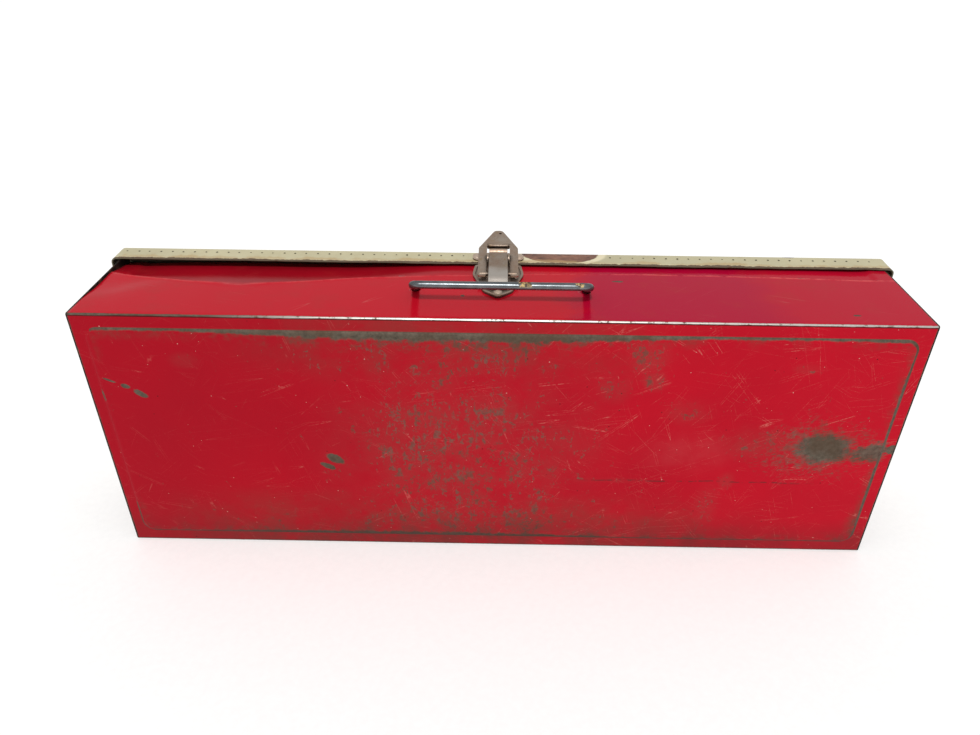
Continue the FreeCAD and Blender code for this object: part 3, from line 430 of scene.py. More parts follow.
def red_enamel(sizes, name, gloss):
    """Red enamel, worn to bare steel on its edges and on the raised field's border."""
    finish = Finish(name, Specular_IOR_Level=0.10 if gloss else 0.05, IOR=1.5)
    red = tuple(sizes.red)
    bare = tuple(sizes.bare)
    cloud = finish.noise(95, 1, detail=3)
    patch = finish.noise(22, 2, detail=4, rough=0.6)
    fine = finish.noise(1.1, 3, detail=2)
    inset, side, corner = sizes.field_inset / MM, sizes.field_side / MM, sizes.field_corner / MM
    top, back, half = TOP / MM, BACK / MM, HALF / MM
    edge_noise = finish.noise(5, 4, detail=5, rough=0.65)
    coarse = finish.noise(34, 5, detail=2)
    # bare steel on the long folds and at the ends, with a painted highlight on the left part of the fold and
    # painted shade just under it
    to_fold = ((finish.y - back) ** 2.0 + (finish.z - top) ** 2.0) ** 0.5
    fold_width = 0.80 + coarse * 0.4 + edge_noise * 0.3
    fold_line = to_fold.step(fold_width, fold_width - 0.35)
    # painted shade: a thin band on the panel just under the top fold
    shade_under_fold = (top - finish.z).step(0.35, 0.75) * to_fold.step(1.9, 1.3)
    to_foot = ((finish.y - back) ** 2.0 + finish.z * finish.z) ** 0.5
    foot_line = to_foot.step(1.3 + edge_noise * 0.4, 0.9 + edge_noise * 0.3)
    ends = (abs(finish.x) - half + 0.8 + edge_noise * 0.6).step(0.6, 1.1) * 0.8
    bare_mask = fold_line.highest(foot_line * 0.85).highest(ends)
    # painted highlight: near-white on the bare fold's left part; the same mask also makes that steel smoother and
    # more metallic
    polish_and_highlight = fold_line * finish.x.step(-190.0, -60.0) * (edge_noise + fine * 0.3).step(0.2, 0.6)
    if not gloss:
        # painted shade: the panel's red darkens from right to left, a light falloff painted into the colour
        colour = finish.blend(finish.x.step(-260.0, 230.0), toned(red, 0.71), toned(red, 0.98))
        colour = finish.blend(cloud * 0.35, colour, (0.23, 0.004, 0.012))
        on_panel = finish.way_y.step(-0.35, -0.6)
        into = -finish.border(half - side, inset, top - inset, corner)
        # the field's border: how wide the bare steel runs in from the foot
        up = finish.z.step(140.0, 160.0) * (finish.x + 246.0).step(2.0, 5.0)
        down = finish.z.step(50.0, 25.0)
        left = finish.x.step(-150.0, -215.0)
        right = finish.x.step(200.0, 236.0)
        middle = (abs(finish.x + 30.0)).step(170.0, 30.0)
        low_middle = (abs(finish.x + 60.0)).step(180.0, 60.0)
        sides = 1.0 - up.highest(down)
        streak = (abs(finish.z - 112.0)).step(19.0, 15.0) * left
        width = 0.5 + up * (0.9 + middle * 3.4 + right * 0.5) + down * (0.7 + low_middle * 1.9 + right * 0.8)
        width = width + sides * right * 2.1 + streak
        width = width + (edge_noise - 0.5) * (0.8 + middle * 2.4)
        line = into.step(0.0, 0.5) * into.step(width + 0.8 + middle * 1.2, width - 0.3)
        broken = (coarse * 0.7 + edge_noise * 0.4 + up + down * 0.6 + right + streak - left * sides).step(0.5, 0.75)
        line = line * broken
        haze = into.step(0.2, 1.2) * into.step(width * 3.0 + 6.0, width * 0.8) * (up * (0.5 + middle) + down)
        haze = haze.highest(into.step(0.2, 1.2) * into.step(9.0, 2.0) * right * 0.7)
        haze = haze * (patch * 0.6 + edge_noise * 0.6).step(0.35, 0.95)
        # bald spots, with a ragged border
        rag = (finish.noise(9, 7, detail=5, rough=0.7) - 0.5) * 0.75
        dust = finish.noise(1.9, 15, detail=4, rough=0.7, stretch=(0.45, 1, 1.5), turn=(0, 14, 0)) - 0.5
        bald = (finish.oval(207.5, 91.0, 20.0, 14.0, -4.0) + rag * 0.6 + dust * 0.45).step(1.2, 0.6)
        halo = (finish.oval(203.0, 91.0, 36.0, 23.0) + rag * 1.0 + dust * 1.4).step(1.15, 0.45) * 0.6
        neck = (finish.oval(237.0, 88.5, 15.0, 9.0, 8.0) + rag * 0.8 + dust * 0.7).step(1.15, 0.55) * 0.95
        tip = (finish.oval(251.5, 91.0, 5.0, 5.0) + rag * 1.6).step(1.05, 0.8)
        neck = neck.highest(tip)
        chips = most((finish.oval(*place) + rag * 0.9).step(1.2, 0.85) for place in (
            (-106.0, 76.5, 6.0, 3.4, -30.0), (-111.0, 70.0, 4.6, 1.9, -28.0), (-230.5, 131.0, 3.0, 1.7, -20.0),
            (-222.0, 125.5, 4.2, 2.0, -30.0), (-239.0, 135.0, 4.0, 0.8, -24.0)))
        # flecks that gather in places and thicken towards the middle and the foot
        gather = finish.oval(-22.0, 84.0, 105.0, 88.0).step(1.15, 0.2) * 0.62
        for x, z, across, up_size, share in (
            (88.0, 158.0, 14.0, 14.0, 0.6), (94.0, 141.0, 9.0, 8.0, 0.6), (70.0, 136.0, 12.0, 14.0, 0.5),
            (118.0, 118.0, 16.0, 12.0, 0.4), (185.0, 151.0, 10.0, 4.0, 0.6), (164.0, 95.0, 26.0, 14.0, 0.42),
            (20.0, 90.0, 16.0, 22.0, 0.55), (-20.0, 118.0, 18.0, 40.0, 0.3), (150.0, 64.0, 6.0, 8.0, 0.5),
            (60.0, 62.0, 40.0, 3.0, 0.42), (140.0, 40.0, 9.0, 22.0, 0.4), (-190.0, 150.0, 10.0, 6.0, 0.3),
        ):
            gather = gather.highest(finish.oval(x, z, across, up_size).step(1.3, 0.3) * share)
        low_area = finish.z.step(64.0, 16.0) * finish.oval(-40.0, 20.0, 230.0, 70.0).step(1.1, 0.35)
        high_area = finish.z.step(125.0, 162.0) * middle
        fleck = finish.noise(4.0, 8, detail=6, rough=0.74, bend=0.7)
        run = finish.noise(6.5, 9, detail=5, rough=0.72, stretch=(1.9, 1, 0.42))
        scuff = (fleck + run * 0.7 + gather * 0.62 + low_area * 0.22 + high_area * 0.22
                 + (patch - 0.5) * 0.3).step(1.26, 1.52)
        scuff = scuff * into.step(1.0, 4.0)
        stain = (gather * 0.9).highest(low_area * 1.15).highest(high_area * 0.8)
        stain = stain * (patch.step(0.1, 0.9) * 0.55 + fleck * 0.35) * 0.62
        stain = stain.highest(haze * (0.55 + fleck * 0.5)) * on_panel
        bare_mask = bare_mask.highest(line * on_panel).highest(
            bald.highest(neck).highest(halo * edge_noise.step(0.25, 0.75)).highest(chips)
            .highest(scuff * 0.66) * on_panel)
        marks = most(finish.scratches(7.0, thin, seed, (0, turn, 0), span, share, (0.15, 1.0))
                     for seed, turn, share, thin, span in (
            (21, 8, 0.50, 0.00682, 47.6), (22, -32, 0.46, 0.00744, 42), (23, 62, 0.40, 0.00682, 36.4),
            (24, -72, 0.44, 0.00744, 33.6), (25, 24, 0.48, 0.0062, 58.8), (26, -10, 0.48, 0.0062, 56),
            (27, 44, 0.42, 0.0068, 42.0), (28, -52, 0.42, 0.0068, 42.0)))
        right_more = finish.x.step(-200.0, 140.0)
        marks = marks * on_panel * (0.35 + right_more * 0.55) * fine.step(0.1, 0.7)
        specks = finish.specks(6.5, 0.07, 31, 0.2).highest(finish.specks(3.1, 0.10, 32, 0.08)) * on_panel
        pits = finish.specks(5.3, 0.09, 33, 0.10) * on_panel
        pale = finish.oval(122.0, 86.0, 40.0, 22.0).step(1.1, 0.2).highest(gather * 0.8)
        colour = finish.blend(pale * patch * 0.22, colour, (0.42, 0.090, 0.090))
        colour = finish.blend(stain, colour, (0.115, 0.048, 0.034))
        # darker towards the foot of the panel
        darker_to_foot = finish.z.step(34.0, 6.0) * (patch * 0.6 + cloud * 0.5) * 0.6
        colour = finish.blend(darker_to_foot * on_panel, colour, (0.105, 0.020, 0.020))
        colour = finish.blend(marks * 0.62, colour, (0.56, 0.17, 0.14))
        colour = finish.blend(specks * 0.6, colour, (0.62, 0.46, 0.38))
        colour = finish.blend(pits, colour, (0.012, 0.006, 0.006))
        # a long dark scratch across the right half
        graze = abs(finish.z - 62.0 + (coarse - 0.5) * 2.0).step(0.8, 0.3) * finish.x.step(40.0, 80.0)
        colour = finish.blend(graze * finish.x.step(215.0, 180.0) * edge_noise.step(0.35, 0.6) * 0.6 * on_panel,
                              colour, (0.055, 0.020, 0.020))
        rough = 0.42 + patch * 0.10 + marks * 0.1
    else:
        # painted reflection: the face's red is purplish right of the middle for a reflection patch, lighter on the
        # left and far right; the mask also makes the left slightly rougher
        dull_and_reflection_split = (finish.x + (patch - 0.5) * 22.0).step(62.0, 34.0)
        far = (finish.x + (patch - 0.5) * 16.0).step(148.0, 182.0)
        colour = finish.blend(dull_and_reflection_split.highest(far * 0.55), (0.385, 0.0015, 0.028), (0.478, 0.0045, 0.016))
        past = finish.node("ShaderNodeAttribute", {"attribute_name": "from_crease"}, out="Fac") - CREASE_MARK
        # painted shade: dark red on the left near the lid, for the lid's overhang shadow on the sagging wall
        painted_lid_shadow = past.step(-1.0, 8.0) * finish.x.step(40.0, -90.0)
        colour = finish.blend(painted_lid_shadow * (0.42 + cloud * 0.4), colour, (0.18, 0.003, 0.008))
        # painted highlight: a lighter pink line along the crease
        ridge = past.step(-2.4, -0.9) * past.step(1.0, 0.0) * (patch * 0.5 + edge_noise * 0.6).step(0.2, 0.8)
        colour = finish.blend(ridge * (0.42 + finish.x.step(20.0, 110.0) * 0.4), colour, (0.66, 0.080, 0.085))
        colour = finish.blend(patch.step(0.5, 1.0) * 0.25, colour, (0.36, 0.020, 0.020))
        chipped = finish.specks(21, 0.085, 33, 0.28).highest(finish.specks(47, 0.05, 34, 0.4))
        for x, s, across, up_size in ((194.0, 62.5, 3.2, 1.3), (211.0, 12.0, 2.8, 1.3), (-73.0, 56.0, 4.0, 0.9),
                                      (74.0, 53.0, 4.0, 1.2)):
            chip = finish.oval(x, s, across, up_size, v=finish.y - back) + (edge_noise - 0.5) * 0.8
            chipped = chipped.highest(chip.step(1.1, 0.8))
        bare_mask = bare_mask.highest(chipped * 0.9)
        hair = finish.scratches(9.0, 0.010, 35, (0, 0, 18), 30.0, 0.32, (1.0, 0.15)).highest(
            finish.scratches(9.0, 0.010, 36, (0, 0, -40), 26.0, 0.28, (1.0, 0.15)))
        colour = finish.blend(hair * 0.25, colour, (0.55, 0.18, 0.16))
        rough = 0.11 + patch * 0.05 + dull_and_reflection_split * 0.04
    metal = finish.blend(finish.noise(3.0, 12, detail=5, rough=0.7), toned(bare, 0.55),
                         toned(bare, 1.3))
    metal = finish.blend(finish.noise(26, 13, detail=4).step(0.3, 0.8) * 0.6, metal, (0.085, 0.052, 0.032))
    # bare steel also darker towards the foot
    metal = finish.blend(finish.z.step(40.0, 10.0) * 0.6, metal, (0.060, 0.034, 0.026))
    # painted highlight on the fold's left part
    metal = finish.blend(polish_and_highlight * 0.85, metal, (0.62, 0.60, 0.56))
    # painted shade: near-black line just under the top fold
    colour = finish.blend(shade_under_fold * 0.85, colour, (0.010, 0.006, 0.006))
    colour = finish.blend(bare_mask, colour, metal)
    relief = finish.noise(2.2, 14, detail=2) * 0.25 - bare_mask * 0.8
    return finish.wear(
        Base_Color=colour,
        Roughness=rough * (1.0 - bare_mask) + bare_mask * (0.50 + fine * 0.12 - polish_and_highlight * 0.22),
        Metallic=bare_mask * 0.4 + polish_and_highlight * 0.35,
        Normal=finish.bump(relief, 0.05))


def inner_enamel(enamel, name):
    """Dull enamel inside the pan or the lid, a darker copy of the outside enamel as painted shade, with dust and
    rust.
    """
    finish = Finish(name, Specular_IOR_Level=0.25)
    cloud = finish.noise(40, 1, detail=4)
    grit = finish.noise(1.6, 2, detail=3)
    rust = (finish.noise(14, 3, detail=6, rough=0.7) + cloud * 0.3).step(0.95, 1.15)
    # painted shade: the inside is the outside enamel at 42 to 62 percent
    colour = finish.blend(cloud, toned(enamel, 0.42), toned(enamel, 0.62))
    colour = finish.blend(cloud.step(0.4, 1.0) * 0.4, colour, (0.12, 0.085, 0.060))
    colour = finish.blend(rust, colour, (0.090, 0.038, 0.018))
    return finish.wear(Base_Color=colour, Roughness=0.52 + grit * 0.2,
                       Normal=finish.bump(grit + rust, 0.04))


def dark_edge(name="edge_rust"):
    """Blackened, rusty cut edges."""
    finish = Finish(name, Specular_IOR_Level=0.2)
    cloud = finish.noise(6, 1, detail=5, rough=0.7)
    colour = finish.blend(cloud.step(0.45, 0.9), (0.010, 0.009, 0.008), (0.085, 0.050, 0.028))
    return finish.wear(Base_Color=colour, Roughness=0.7, Normal=finish.bump(cloud, 0.08))


def cream_enamel(sizes):
    """Aged cream enamel with a rusted lower edge and a brown wood-grain oval over the fold."""
    finish = Finish("cream_enamel", Specular_IOR_Level=0.35)
    cream = tuple(sizes.cream)
    edge, far = LID_LOW.y / MM, LID_HIGH.y / MM - RISE / MM
    high, low = LID_HIGH.z / MM, LID_LOW.z / MM
    cloud = finish.noise(60, 1, detail=4)
    blotch = finish.noise(13, 2, detail=5, rough=0.6)
    fine = finish.noise(1.4, 3, detail=3)
    rag = finish.noise(3.2, 4, detail=5, rough=0.7)
    colour = finish.blend(cloud, toned(cream, 0.86), toned(cream, 1.06))
    colour = finish.blend(blotch.step(0.45, 1.0) * 0.35, colour, (0.42, 0.36, 0.22))
    # the wood-grain oval, folded over the lid's front edge
    over = high - finish.z
    along = finish.way_z.step(0.3, 0.7)
    fold_v = (far - finish.y) * along - over * (1.0 - along)
    oval = finish.oval(39.5, 0.0, 26.5, 15.6, 0.0, v=fold_v)
    grain = finish.noise(3.4, 5, detail=5, rough=0.6, stretch=(0.42, 1.3, 1.3), bend=1.1)
    rings = finish.noise(9, 6, detail=2, stretch=(0.35, 1.2, 1.2))
    wood = finish.blend((grain + rings * 0.5 - 0.2), (0.030, 0.010, 0.008), (0.29, 0.135, 0.085))
    ring = oval.step(1.24, 1.12) * oval.step(0.94, 1.02)
    colour = finish.blend(ring * 0.75, colour, (0.80, 0.72, 0.50))
    colour = finish.blend((oval + (rag - 0.5) * 0.06).step(1.0, 0.96), colour, wood)
    # rust and chips creep in from the cut edge, with a painted highlight as a lighter band along it
    rise = finish.y - edge
    creep = (rise - rag * 2.2 - blotch * 1.2).step(0.9, 0.1)
    lip = (rise - rag * 1.5).step(3.2, 1.2) * 0.75
    stain = (rise - blotch * 6.5).step(3.5, 0.0) * 0.6
    colour = finish.blend(stain, colour, (0.44, 0.29, 0.12))
    # painted highlight: a lighter cream band along the flange's lower edge
    colour = finish.blend(lip * (1.0 - creep), colour, toned(cream, 1.18))
    # chipped corners and folds
    to_fold = ((finish.y - far) ** 2.0 + (finish.z - high) ** 2.0) ** 0.5
    fold_chip = (to_fold + rag * 1.6).step(1.9, 1.2) * blotch.step(0.62, 0.8)
    to_side = LID_HIGH.x / MM - abs(finish.x)
    side_chip = (to_side + rag * 2.4).step(2.6, 1.4) * along
    gap = finish.border(LID_HIGH.x / MM - sizes.field_side / MM, 26.7, high - 9.0, 9.0)
    on_back = finish.way_y.step(0.35, 0.6)
    worn = (-gap).step(0.2, 0.9) * (-gap).step(3.6, 1.6) * (cloud + rag * 0.6).step(0.55, 0.95) * on_back
    scuffs = (finish.noise(5, 8, detail=6, rough=0.7) + finish.noise(30, 9) * 0.6).step(1.22, 1.5) * on_back
    nick = (finish.oval(194.0, 0.4, 5.5, 1.7, v=fold_v) + (rag - 0.5) * 0.7).step(1.0, 0.8)
    rust = creep.highest(fold_chip).highest(side_chip * 0.8).highest(worn).highest(scuffs * 0.8).highest(nick)
    rusty = finish.blend(rag, (0.022, 0.013, 0.009), (0.17, 0.085, 0.040))
    rusty = finish.blend(blotch * 0.5, rusty, (0.15, 0.12, 0.09))
    hairs = finish.scratches(8.0, 0.018, 41, (0, 12, 0), 30.0, 0.45, (0.15, 1.0)).highest(
        finish.scratches(8.0, 0.018, 42, (0, -38, 0), 28.0, 0.4, (0.15, 1.0))) * on_back
    colour = finish.blend(hairs * 0.35, colour, (0.30, 0.25, 0.16))
    colour = finish.blend(rust, colour, rusty)
    return finish.wear(
        Base_Color=colour, Roughness=0.36 + blotch * 0.14 + rust * 0.3,
        Metallic=rust * 0.15,
        Normal=finish.bump(fine * 0.3 - rust * 0.9, 0.06))


def nickel(name="tarnished_nickel", tone=1.0, highlight_below=None):
    """Nickel plate tarnished brown, with painted shade in its corners from ambient occlusion, and a painted
    highlight on the panel's side of a given Y.
    """
    finish = Finish(name, Specular_IOR_Level=0.5)
    cloud = finish.noise(9, 1, detail=5, rough=0.62)
    pits = finish.noise(1.3, 2, detail=4, rough=0.7)
    warm, cool = (0.25 * tone, 0.165 * tone, 0.115 * tone), (0.30 * tone, 0.255 * tone, 0.21 * tone)
    colour = finish.blend(cloud, warm, cool)
    colour = finish.blend(pits.step(0.62, 1.0) * 0.55, colour, (0.13, 0.085, 0.05))
    colour = finish.blend(finish.specks(2.4, 0.10, 3, 0.18) * 0.8, colour, (0.030, 0.022, 0.016))
    colour = finish.blend(finish.noise(5, 4, detail=5).step(0.72, 1.0) * 0.5, colour, (0.30, 0.20, 0.07))
    if highlight_below is not None:
        # painted highlight: a pale band over the lever's curved tip, below the given Y
        worn = (finish.y + (cloud - 0.5) * 6.0).step(highlight_below + 9.0, highlight_below)
        colour = finish.blend(worn * 0.75, colour, (0.50, 0.47, 0.43))
    # painted shade: near-black in corners and between pieces, from ambient occlusion
    open_air = finish.node("ShaderNodeAmbientOcclusion", {"samples": 8}, {"Distance": 4.5 * MM}, out="AO")
    colour = finish.blend((open_air + (pits - 0.5) * 0.2).step(0.93, 0.48) * 0.9, colour, (0.022, 0.014, 0.010))
    return finish.wear(
        Base_Color=colour, Metallic=0.72, Roughness=0.34 + pits * 0.2,
        Normal=finish.bump(pits, 0.05))


def rod_steel():
    """Dark plated rod, chipped to yellow rust in a few places."""
    finish = Finish("dark_rod", Specular_IOR_Level=0.5)
    cloud = finish.noise(7, 1, detail=4)
    fine = finish.noise(1.2, 2, detail=4)
    colour = finish.blend(cloud, (0.10, 0.112, 0.120), (0.19, 0.205, 0.215))
    rag = finish.noise(3.0, 3, detail=4, rough=0.7)
    above = finish.way_z.step(-0.1, 0.5)
    chips = (abs(finish.x - 14.5) + rag * 3.0).step(5.6, 4.6) * above
    chips = chips.highest((abs(finish.x - 46.0) + rag * 9.0).step(5.6, 4.8) * above)
    chips = chips.highest((finish.noise(12, 4, detail=4) + rag * 0.4).step(1.22, 1.3) * 0.9)
    rust = finish.blend(finish.noise(1.6, 5, detail=4, rough=0.7).step(0.4, 0.62), (0.028, 0.012, 0.008),
                        (0.50, 0.36, 0.15))
    colour = finish.blend(chips, colour, rust)
    return finish.wear(Base_Color=colour, Metallic=0.85 - chips * 0.7, Roughness=0.24 + fine * 0.12 + chips * 0.3,
                       Normal=finish.bump(cloud * 0.4 - chips, 0.12))


def plain_steel(name="worn_steel", colour=(0.30, 0.285, 0.265)):
    """Dull zinc-plated steel with grime."""
    finish = Finish(name)
    cloud = finish.noise(12, 1, detail=5, rough=0.6)
    fine = finish.noise(1.5, 2, detail=3)
    shade = finish.blend(cloud, toned(colour, 0.62), colour)
    shade = finish.blend(fine.step(0.7, 1.0) * 0.5, shade, (0.10, 0.060, 0.035))
    return finish.wear(Base_Color=shade, Metallic=0.75, Roughness=0.38 + fine * 0.18,
                       Normal=finish.bump(fine, 0.03))


def flat_finish(name, colour, rough, glow=0.0):
    """Matt finish for the small dots and for the floor, with a faint grain."""
    finish = Finish(name, Specular_IOR_Level=0.1, Emission_Strength=glow, Emission_Color=(1, 1, 1, 1))
    grain = finish.noise(4, 1, detail=2)
    shade = finish.blend(grain, toned(colour, 0.97), colour)
    return finish.wear(Base_Color=shade, Roughness=rough)


FINISHES = {}


def finish_of(name):
    """Each finish is built once."""
    sizes = bpy.context.scene.toolbox
    makers = {
        "red_panel": lambda: red_enamel(sizes, "red_panel", gloss=False),
        "red_gloss": lambda: red_enamel(sizes, "red_gloss", gloss=True),
        "red_inside": lambda: inner_enamel(sizes.red, "red_inside"),
        # painted shade: the lid's inside is the cream darkened further
        "cream_inside": lambda: inner_enamel(toned(sizes.cream, 0.45), "cream_inside"),
        "edge": dark_edge,
        "cream": lambda: cream_enamel(sizes),
        "nickel": nickel,
        "nickel_pale": lambda: nickel("pale_nickel", 1.25),
        # painted highlight: a much lighter copy of the nickel for the strike plate and rivets
        "nickel_bright": lambda: nickel("bright_nickel", 2.1),
        "nickel_rubbed": lambda: nickel("rubbed_nickel", 1.1, highlight_below=2.0),
        "rod": rod_steel,
        "steel": plain_steel,
        "dot": lambda: flat_finish("dot_brown", (0.030, 0.022, 0.016), 0.7),
        "floor": lambda: flat_finish("floor_pale", (0.93, 0.93, 0.93), 0.85, glow=0.07),
    }
    if name not in FINISHES:
        FINISHES[name] = makers[name]()
    return FINISHES[name]


# ---- geometry nodes ----

class Recipe:
    """A geometry-nodes tree with named inputs."""

    KINDS = {tuple: "NodeSocketVector", int: "NodeSocketInt", float: "NodeSocketFloat"}

    def __init__(self, name, inputs):
        self.tree = bpy.data.node_groups.new(name, "GeometryNodeTree")
        for way in ("INPUT", "OUTPUT"):
            self.tree.interface.new_socket("Geometry", in_out=way, socket_type="NodeSocketGeometry")
        for label, default in inputs.items():
            socket = self.tree.interface.new_socket(label, in_out="INPUT", socket_type=self.KINDS[type(default)])
            socket.default_value = default
        self.given = self.tree.nodes.new("NodeGroupInput").outputs

    def add(self, kind, settings=None, values=None, out=0):
        """Add a node; settings first, then the values or links of its sockets. Gives one output."""
        node = self.tree.nodes.new(kind)
        for name, setting in (settings or {}).items():
            setattr(node, name, setting)
        for name, value in (values or {}).items():
            if isinstance(value, bpy.types.NodeSocket):
                self.tree.links.new(value, node.inputs[name])
            else:
                node.inputs[name].default_value = value
        return node.outputs[out] if node.outputs else None

    def serve(self, geometry, material):
        """End the tree with real, painted geometry."""
        real = self.add("GeometryNodeRealizeInstances", values={"Geometry": geometry})
        painted = self.add("GeometryNodeSetMaterial", values={"Geometry": real, "Material": material})
        self.add("NodeGroupOutput", values={0: painted})

    def grow(self, piece, **values):
        """Run the tree on an object and keep the result as its plain mesh."""
        modifier = piece.modifiers.new("nodes", "NODES")
        modifier.node_group = self.tree
        for item in self.tree.interface.items_tree:
            label = item.name.replace(" ", "_").lower()
            if item.in_out == "INPUT" and label in values:
                modifier[item.identifier] = values[label]
        return settle(piece)


# ---- the pan ----

CREASE_MARK = 200.0
CREASE = ((-253, 60), (-237, 54), (-200, 46), (-164, 42), (-125, 47), (-91, 53), (-40, 58.5), (20, 62.5),
          (90, 64.6), (170, 63.0), (236, 60.0), (253, 60.0))


def crease_line(across):
    """Where the crease runs, from the long fold, at a place along the box. Millimetres."""
    return np.interp(across, *zip(*CREASE))


def dent(x, s, sizes):
    """How far the handle face is pushed in, at x and at s from the long fold. Metres."""
    across, down = x / MM, s / MM
    crease = crease_line(across)
    inside = ease((244 - np.abs(across)) / 5)
    step = sizes.step_drop / MM * ease((down - crease) / 1.8) * inside
    bent = ease((-20 - across) / 90)
    lean = sizes.sag / MM * bent * np.clip((down - crease) / (87 - crease), 0, 1) ** 0.8
    end = 2.2 * ease((down - 8) / 79) * np.exp(-((across + 254) / 34) ** 2)
    # a second, shallow fold that runs from the crease down to the left corner of the long fold
    facet = (down - 22) / 30 * 36 - 236 - across
    second = 0.7 * ease(facet / 26) * ease((down - 16) / 22) * ease((58 - down) / 16) * ease((-150 - across) / 40)
    ripple = 0.10 * waver(across, 61, 1.3) * ease(down / 30)
    ridge = 0.32 * np.exp(-((down - crease + 0.2) / 1.0) ** 2) * (0.3 + 0.7 * bent) * inside
    return (step + lean + end + second + ripple - ridge) * MM


def wrap_section(sizes):
    """Rows round the wrap, from the base wall's free edge to the rim: place, outward way and kind."""
    rows = []
    radius = sizes.fold
    for y in np.linspace(WALL_END, BACK + radius, 22):
        rows.append((y, 0.0, 0.0, -1.0, "base"))
    for turn in np.linspace(0, 90, 7)[1:-1]:
        a = math.radians(turn)
        rows.append((BACK + radius - radius * math.sin(a), radius - radius * math.cos(a),
                     -math.sin(a), -math.cos(a), "base"))
    edges = (sizes.field_inset, TOP - sizes.field_inset)
    for z in graded(radius, TOP - radius, edges, 4.2 * MM, 1.0 * MM, 9 * MM):
        rows.append((BACK, z, -1.0, 0.0, "panel"))
    for turn in np.linspace(0, 90, 7)[1:-1]:
        a = math.radians(turn)
        rows.append((BACK + radius - radius * math.cos(a), TOP - radius + radius * math.sin(a),
                     -math.cos(a), math.sin(a), "panel" if turn < 50 else "face"))
    for s in graded(radius, RIM - BACK, (46 * MM, 52 * MM, 57 * MM, 62 * MM), 3.2 * MM, 0.62 * MM, 4 * MM):
        rows.append((BACK + s, TOP, 0.0, 1.0, "face"))
    return rows


class TOOLBOX_OT_case_shell(bpy.types.Operator):
    """Folded sheet of the pan, with its raised field, its step and its dents"""

    bl_idname = "toolbox.case_shell"
    bl_label = "Case shell"

    def execute(self, context):
        sizes = context.scene.toolbox
        inset, side = sizes.field_inset, sizes.field_side
        xs = graded(-HALF, HALF, (-HALF + side + 2 * MM, HALF - side - 2 * MM), 4.2 * MM, 1.0 * MM, 8 * MM)
        rows = wrap_section(sizes)
        points = np.zeros((len(rows), len(xs), 3))
        past = np.zeros((len(rows), len(xs)))
        for r, (y, z, way_y, way_z, kind) in enumerate(rows):
            out = np.zeros_like(xs)
            if kind == "panel":
                gap = border_distance(xs, z, HALF - side, inset, TOP - inset, sizes.field_corner)
                out = RISE * ease(-gap / sizes.field_slope)
                # the field has gone slightly slack with age
                out = out - 0.10 * MM * (1 + waver(xs, 0.170, 0.4) * waver(z, 0.090, 1.1)) * ease(-gap / 0.03)
            if kind == "face":
                out = -dent(xs, y - BACK, sizes)
                past[r] = (y - BACK) / MM - crease_line(xs / MM) + CREASE_MARK
            points[r, :, 0] = xs
            points[r, :, 1] = y + way_y * out
            points[r, :, 2] = z + way_z * out
        materials = [finish_of(name) for name in ("red_panel", "red_gloss", "red_inside", "red_inside")]
        shell = new_piece("case_shell", points.reshape(-1, 3), grid_faces(len(rows), len(xs)), materials)
        shell.data.attributes.new("from_crease", "FLOAT", "POINT").data.foreach_set("value", past.ravel())
        kinds = [row[4] for row in rows]
        index = [1 if kinds[r] == "face" else 0 for r in range(len(rows) - 1) for c in range(len(xs) - 1)]
        shell.data.polygons.foreach_set("material_index", index)
        point_outwards(shell)
        thicken(shell, SHEET, inner=2)
        settle(shell)
        cut_slots(shell)
        attach(shell, "case", "red_paint", "case_wrap")
        return {"FINISHED"}


def point_outwards(piece):
    """Turn an open sheet's faces to the outside of the box."""
    centre = Vector((0, 0, TOP / 2))
    total = sum((p.center - centre).dot(p.normal) * p.area for p in piece.data.polygons)
    if total < 0:
        piece.data.flip_normals()


def cut_slots(shell):
    """Cut the two slots for the handle's legs."""
    pivot = joint_place("handle_swing")
    radius, near, far, depth = 2.68 * MM, 0.1 * MM, -9 * MM, 9 * MM
    cutter = bmesh.new()
    for side in (-1, 1):
        ring = []
        for turn in range(24):
            a = 2 * math.pi * turn / 24
            y = pivot.y + (near if math.sin(a) > 0 else far) + radius * math.sin(a)
            ring.append(cutter.verts.new((side * LEG_X + radius * math.cos(a), y, TOP - 5 * MM)))
        raise_face(cutter, cutter.faces.new(ring), (0, 0, depth))
    tool = pour(cutter, "slot_cutter")
    cut = shell.modifiers.new("slots", "BOOLEAN")
    cut.operation, cut.solver, cut.object = "DIFFERENCE", "EXACT", tool
    settle(shell)
    bpy.data.objects.remove(tool)


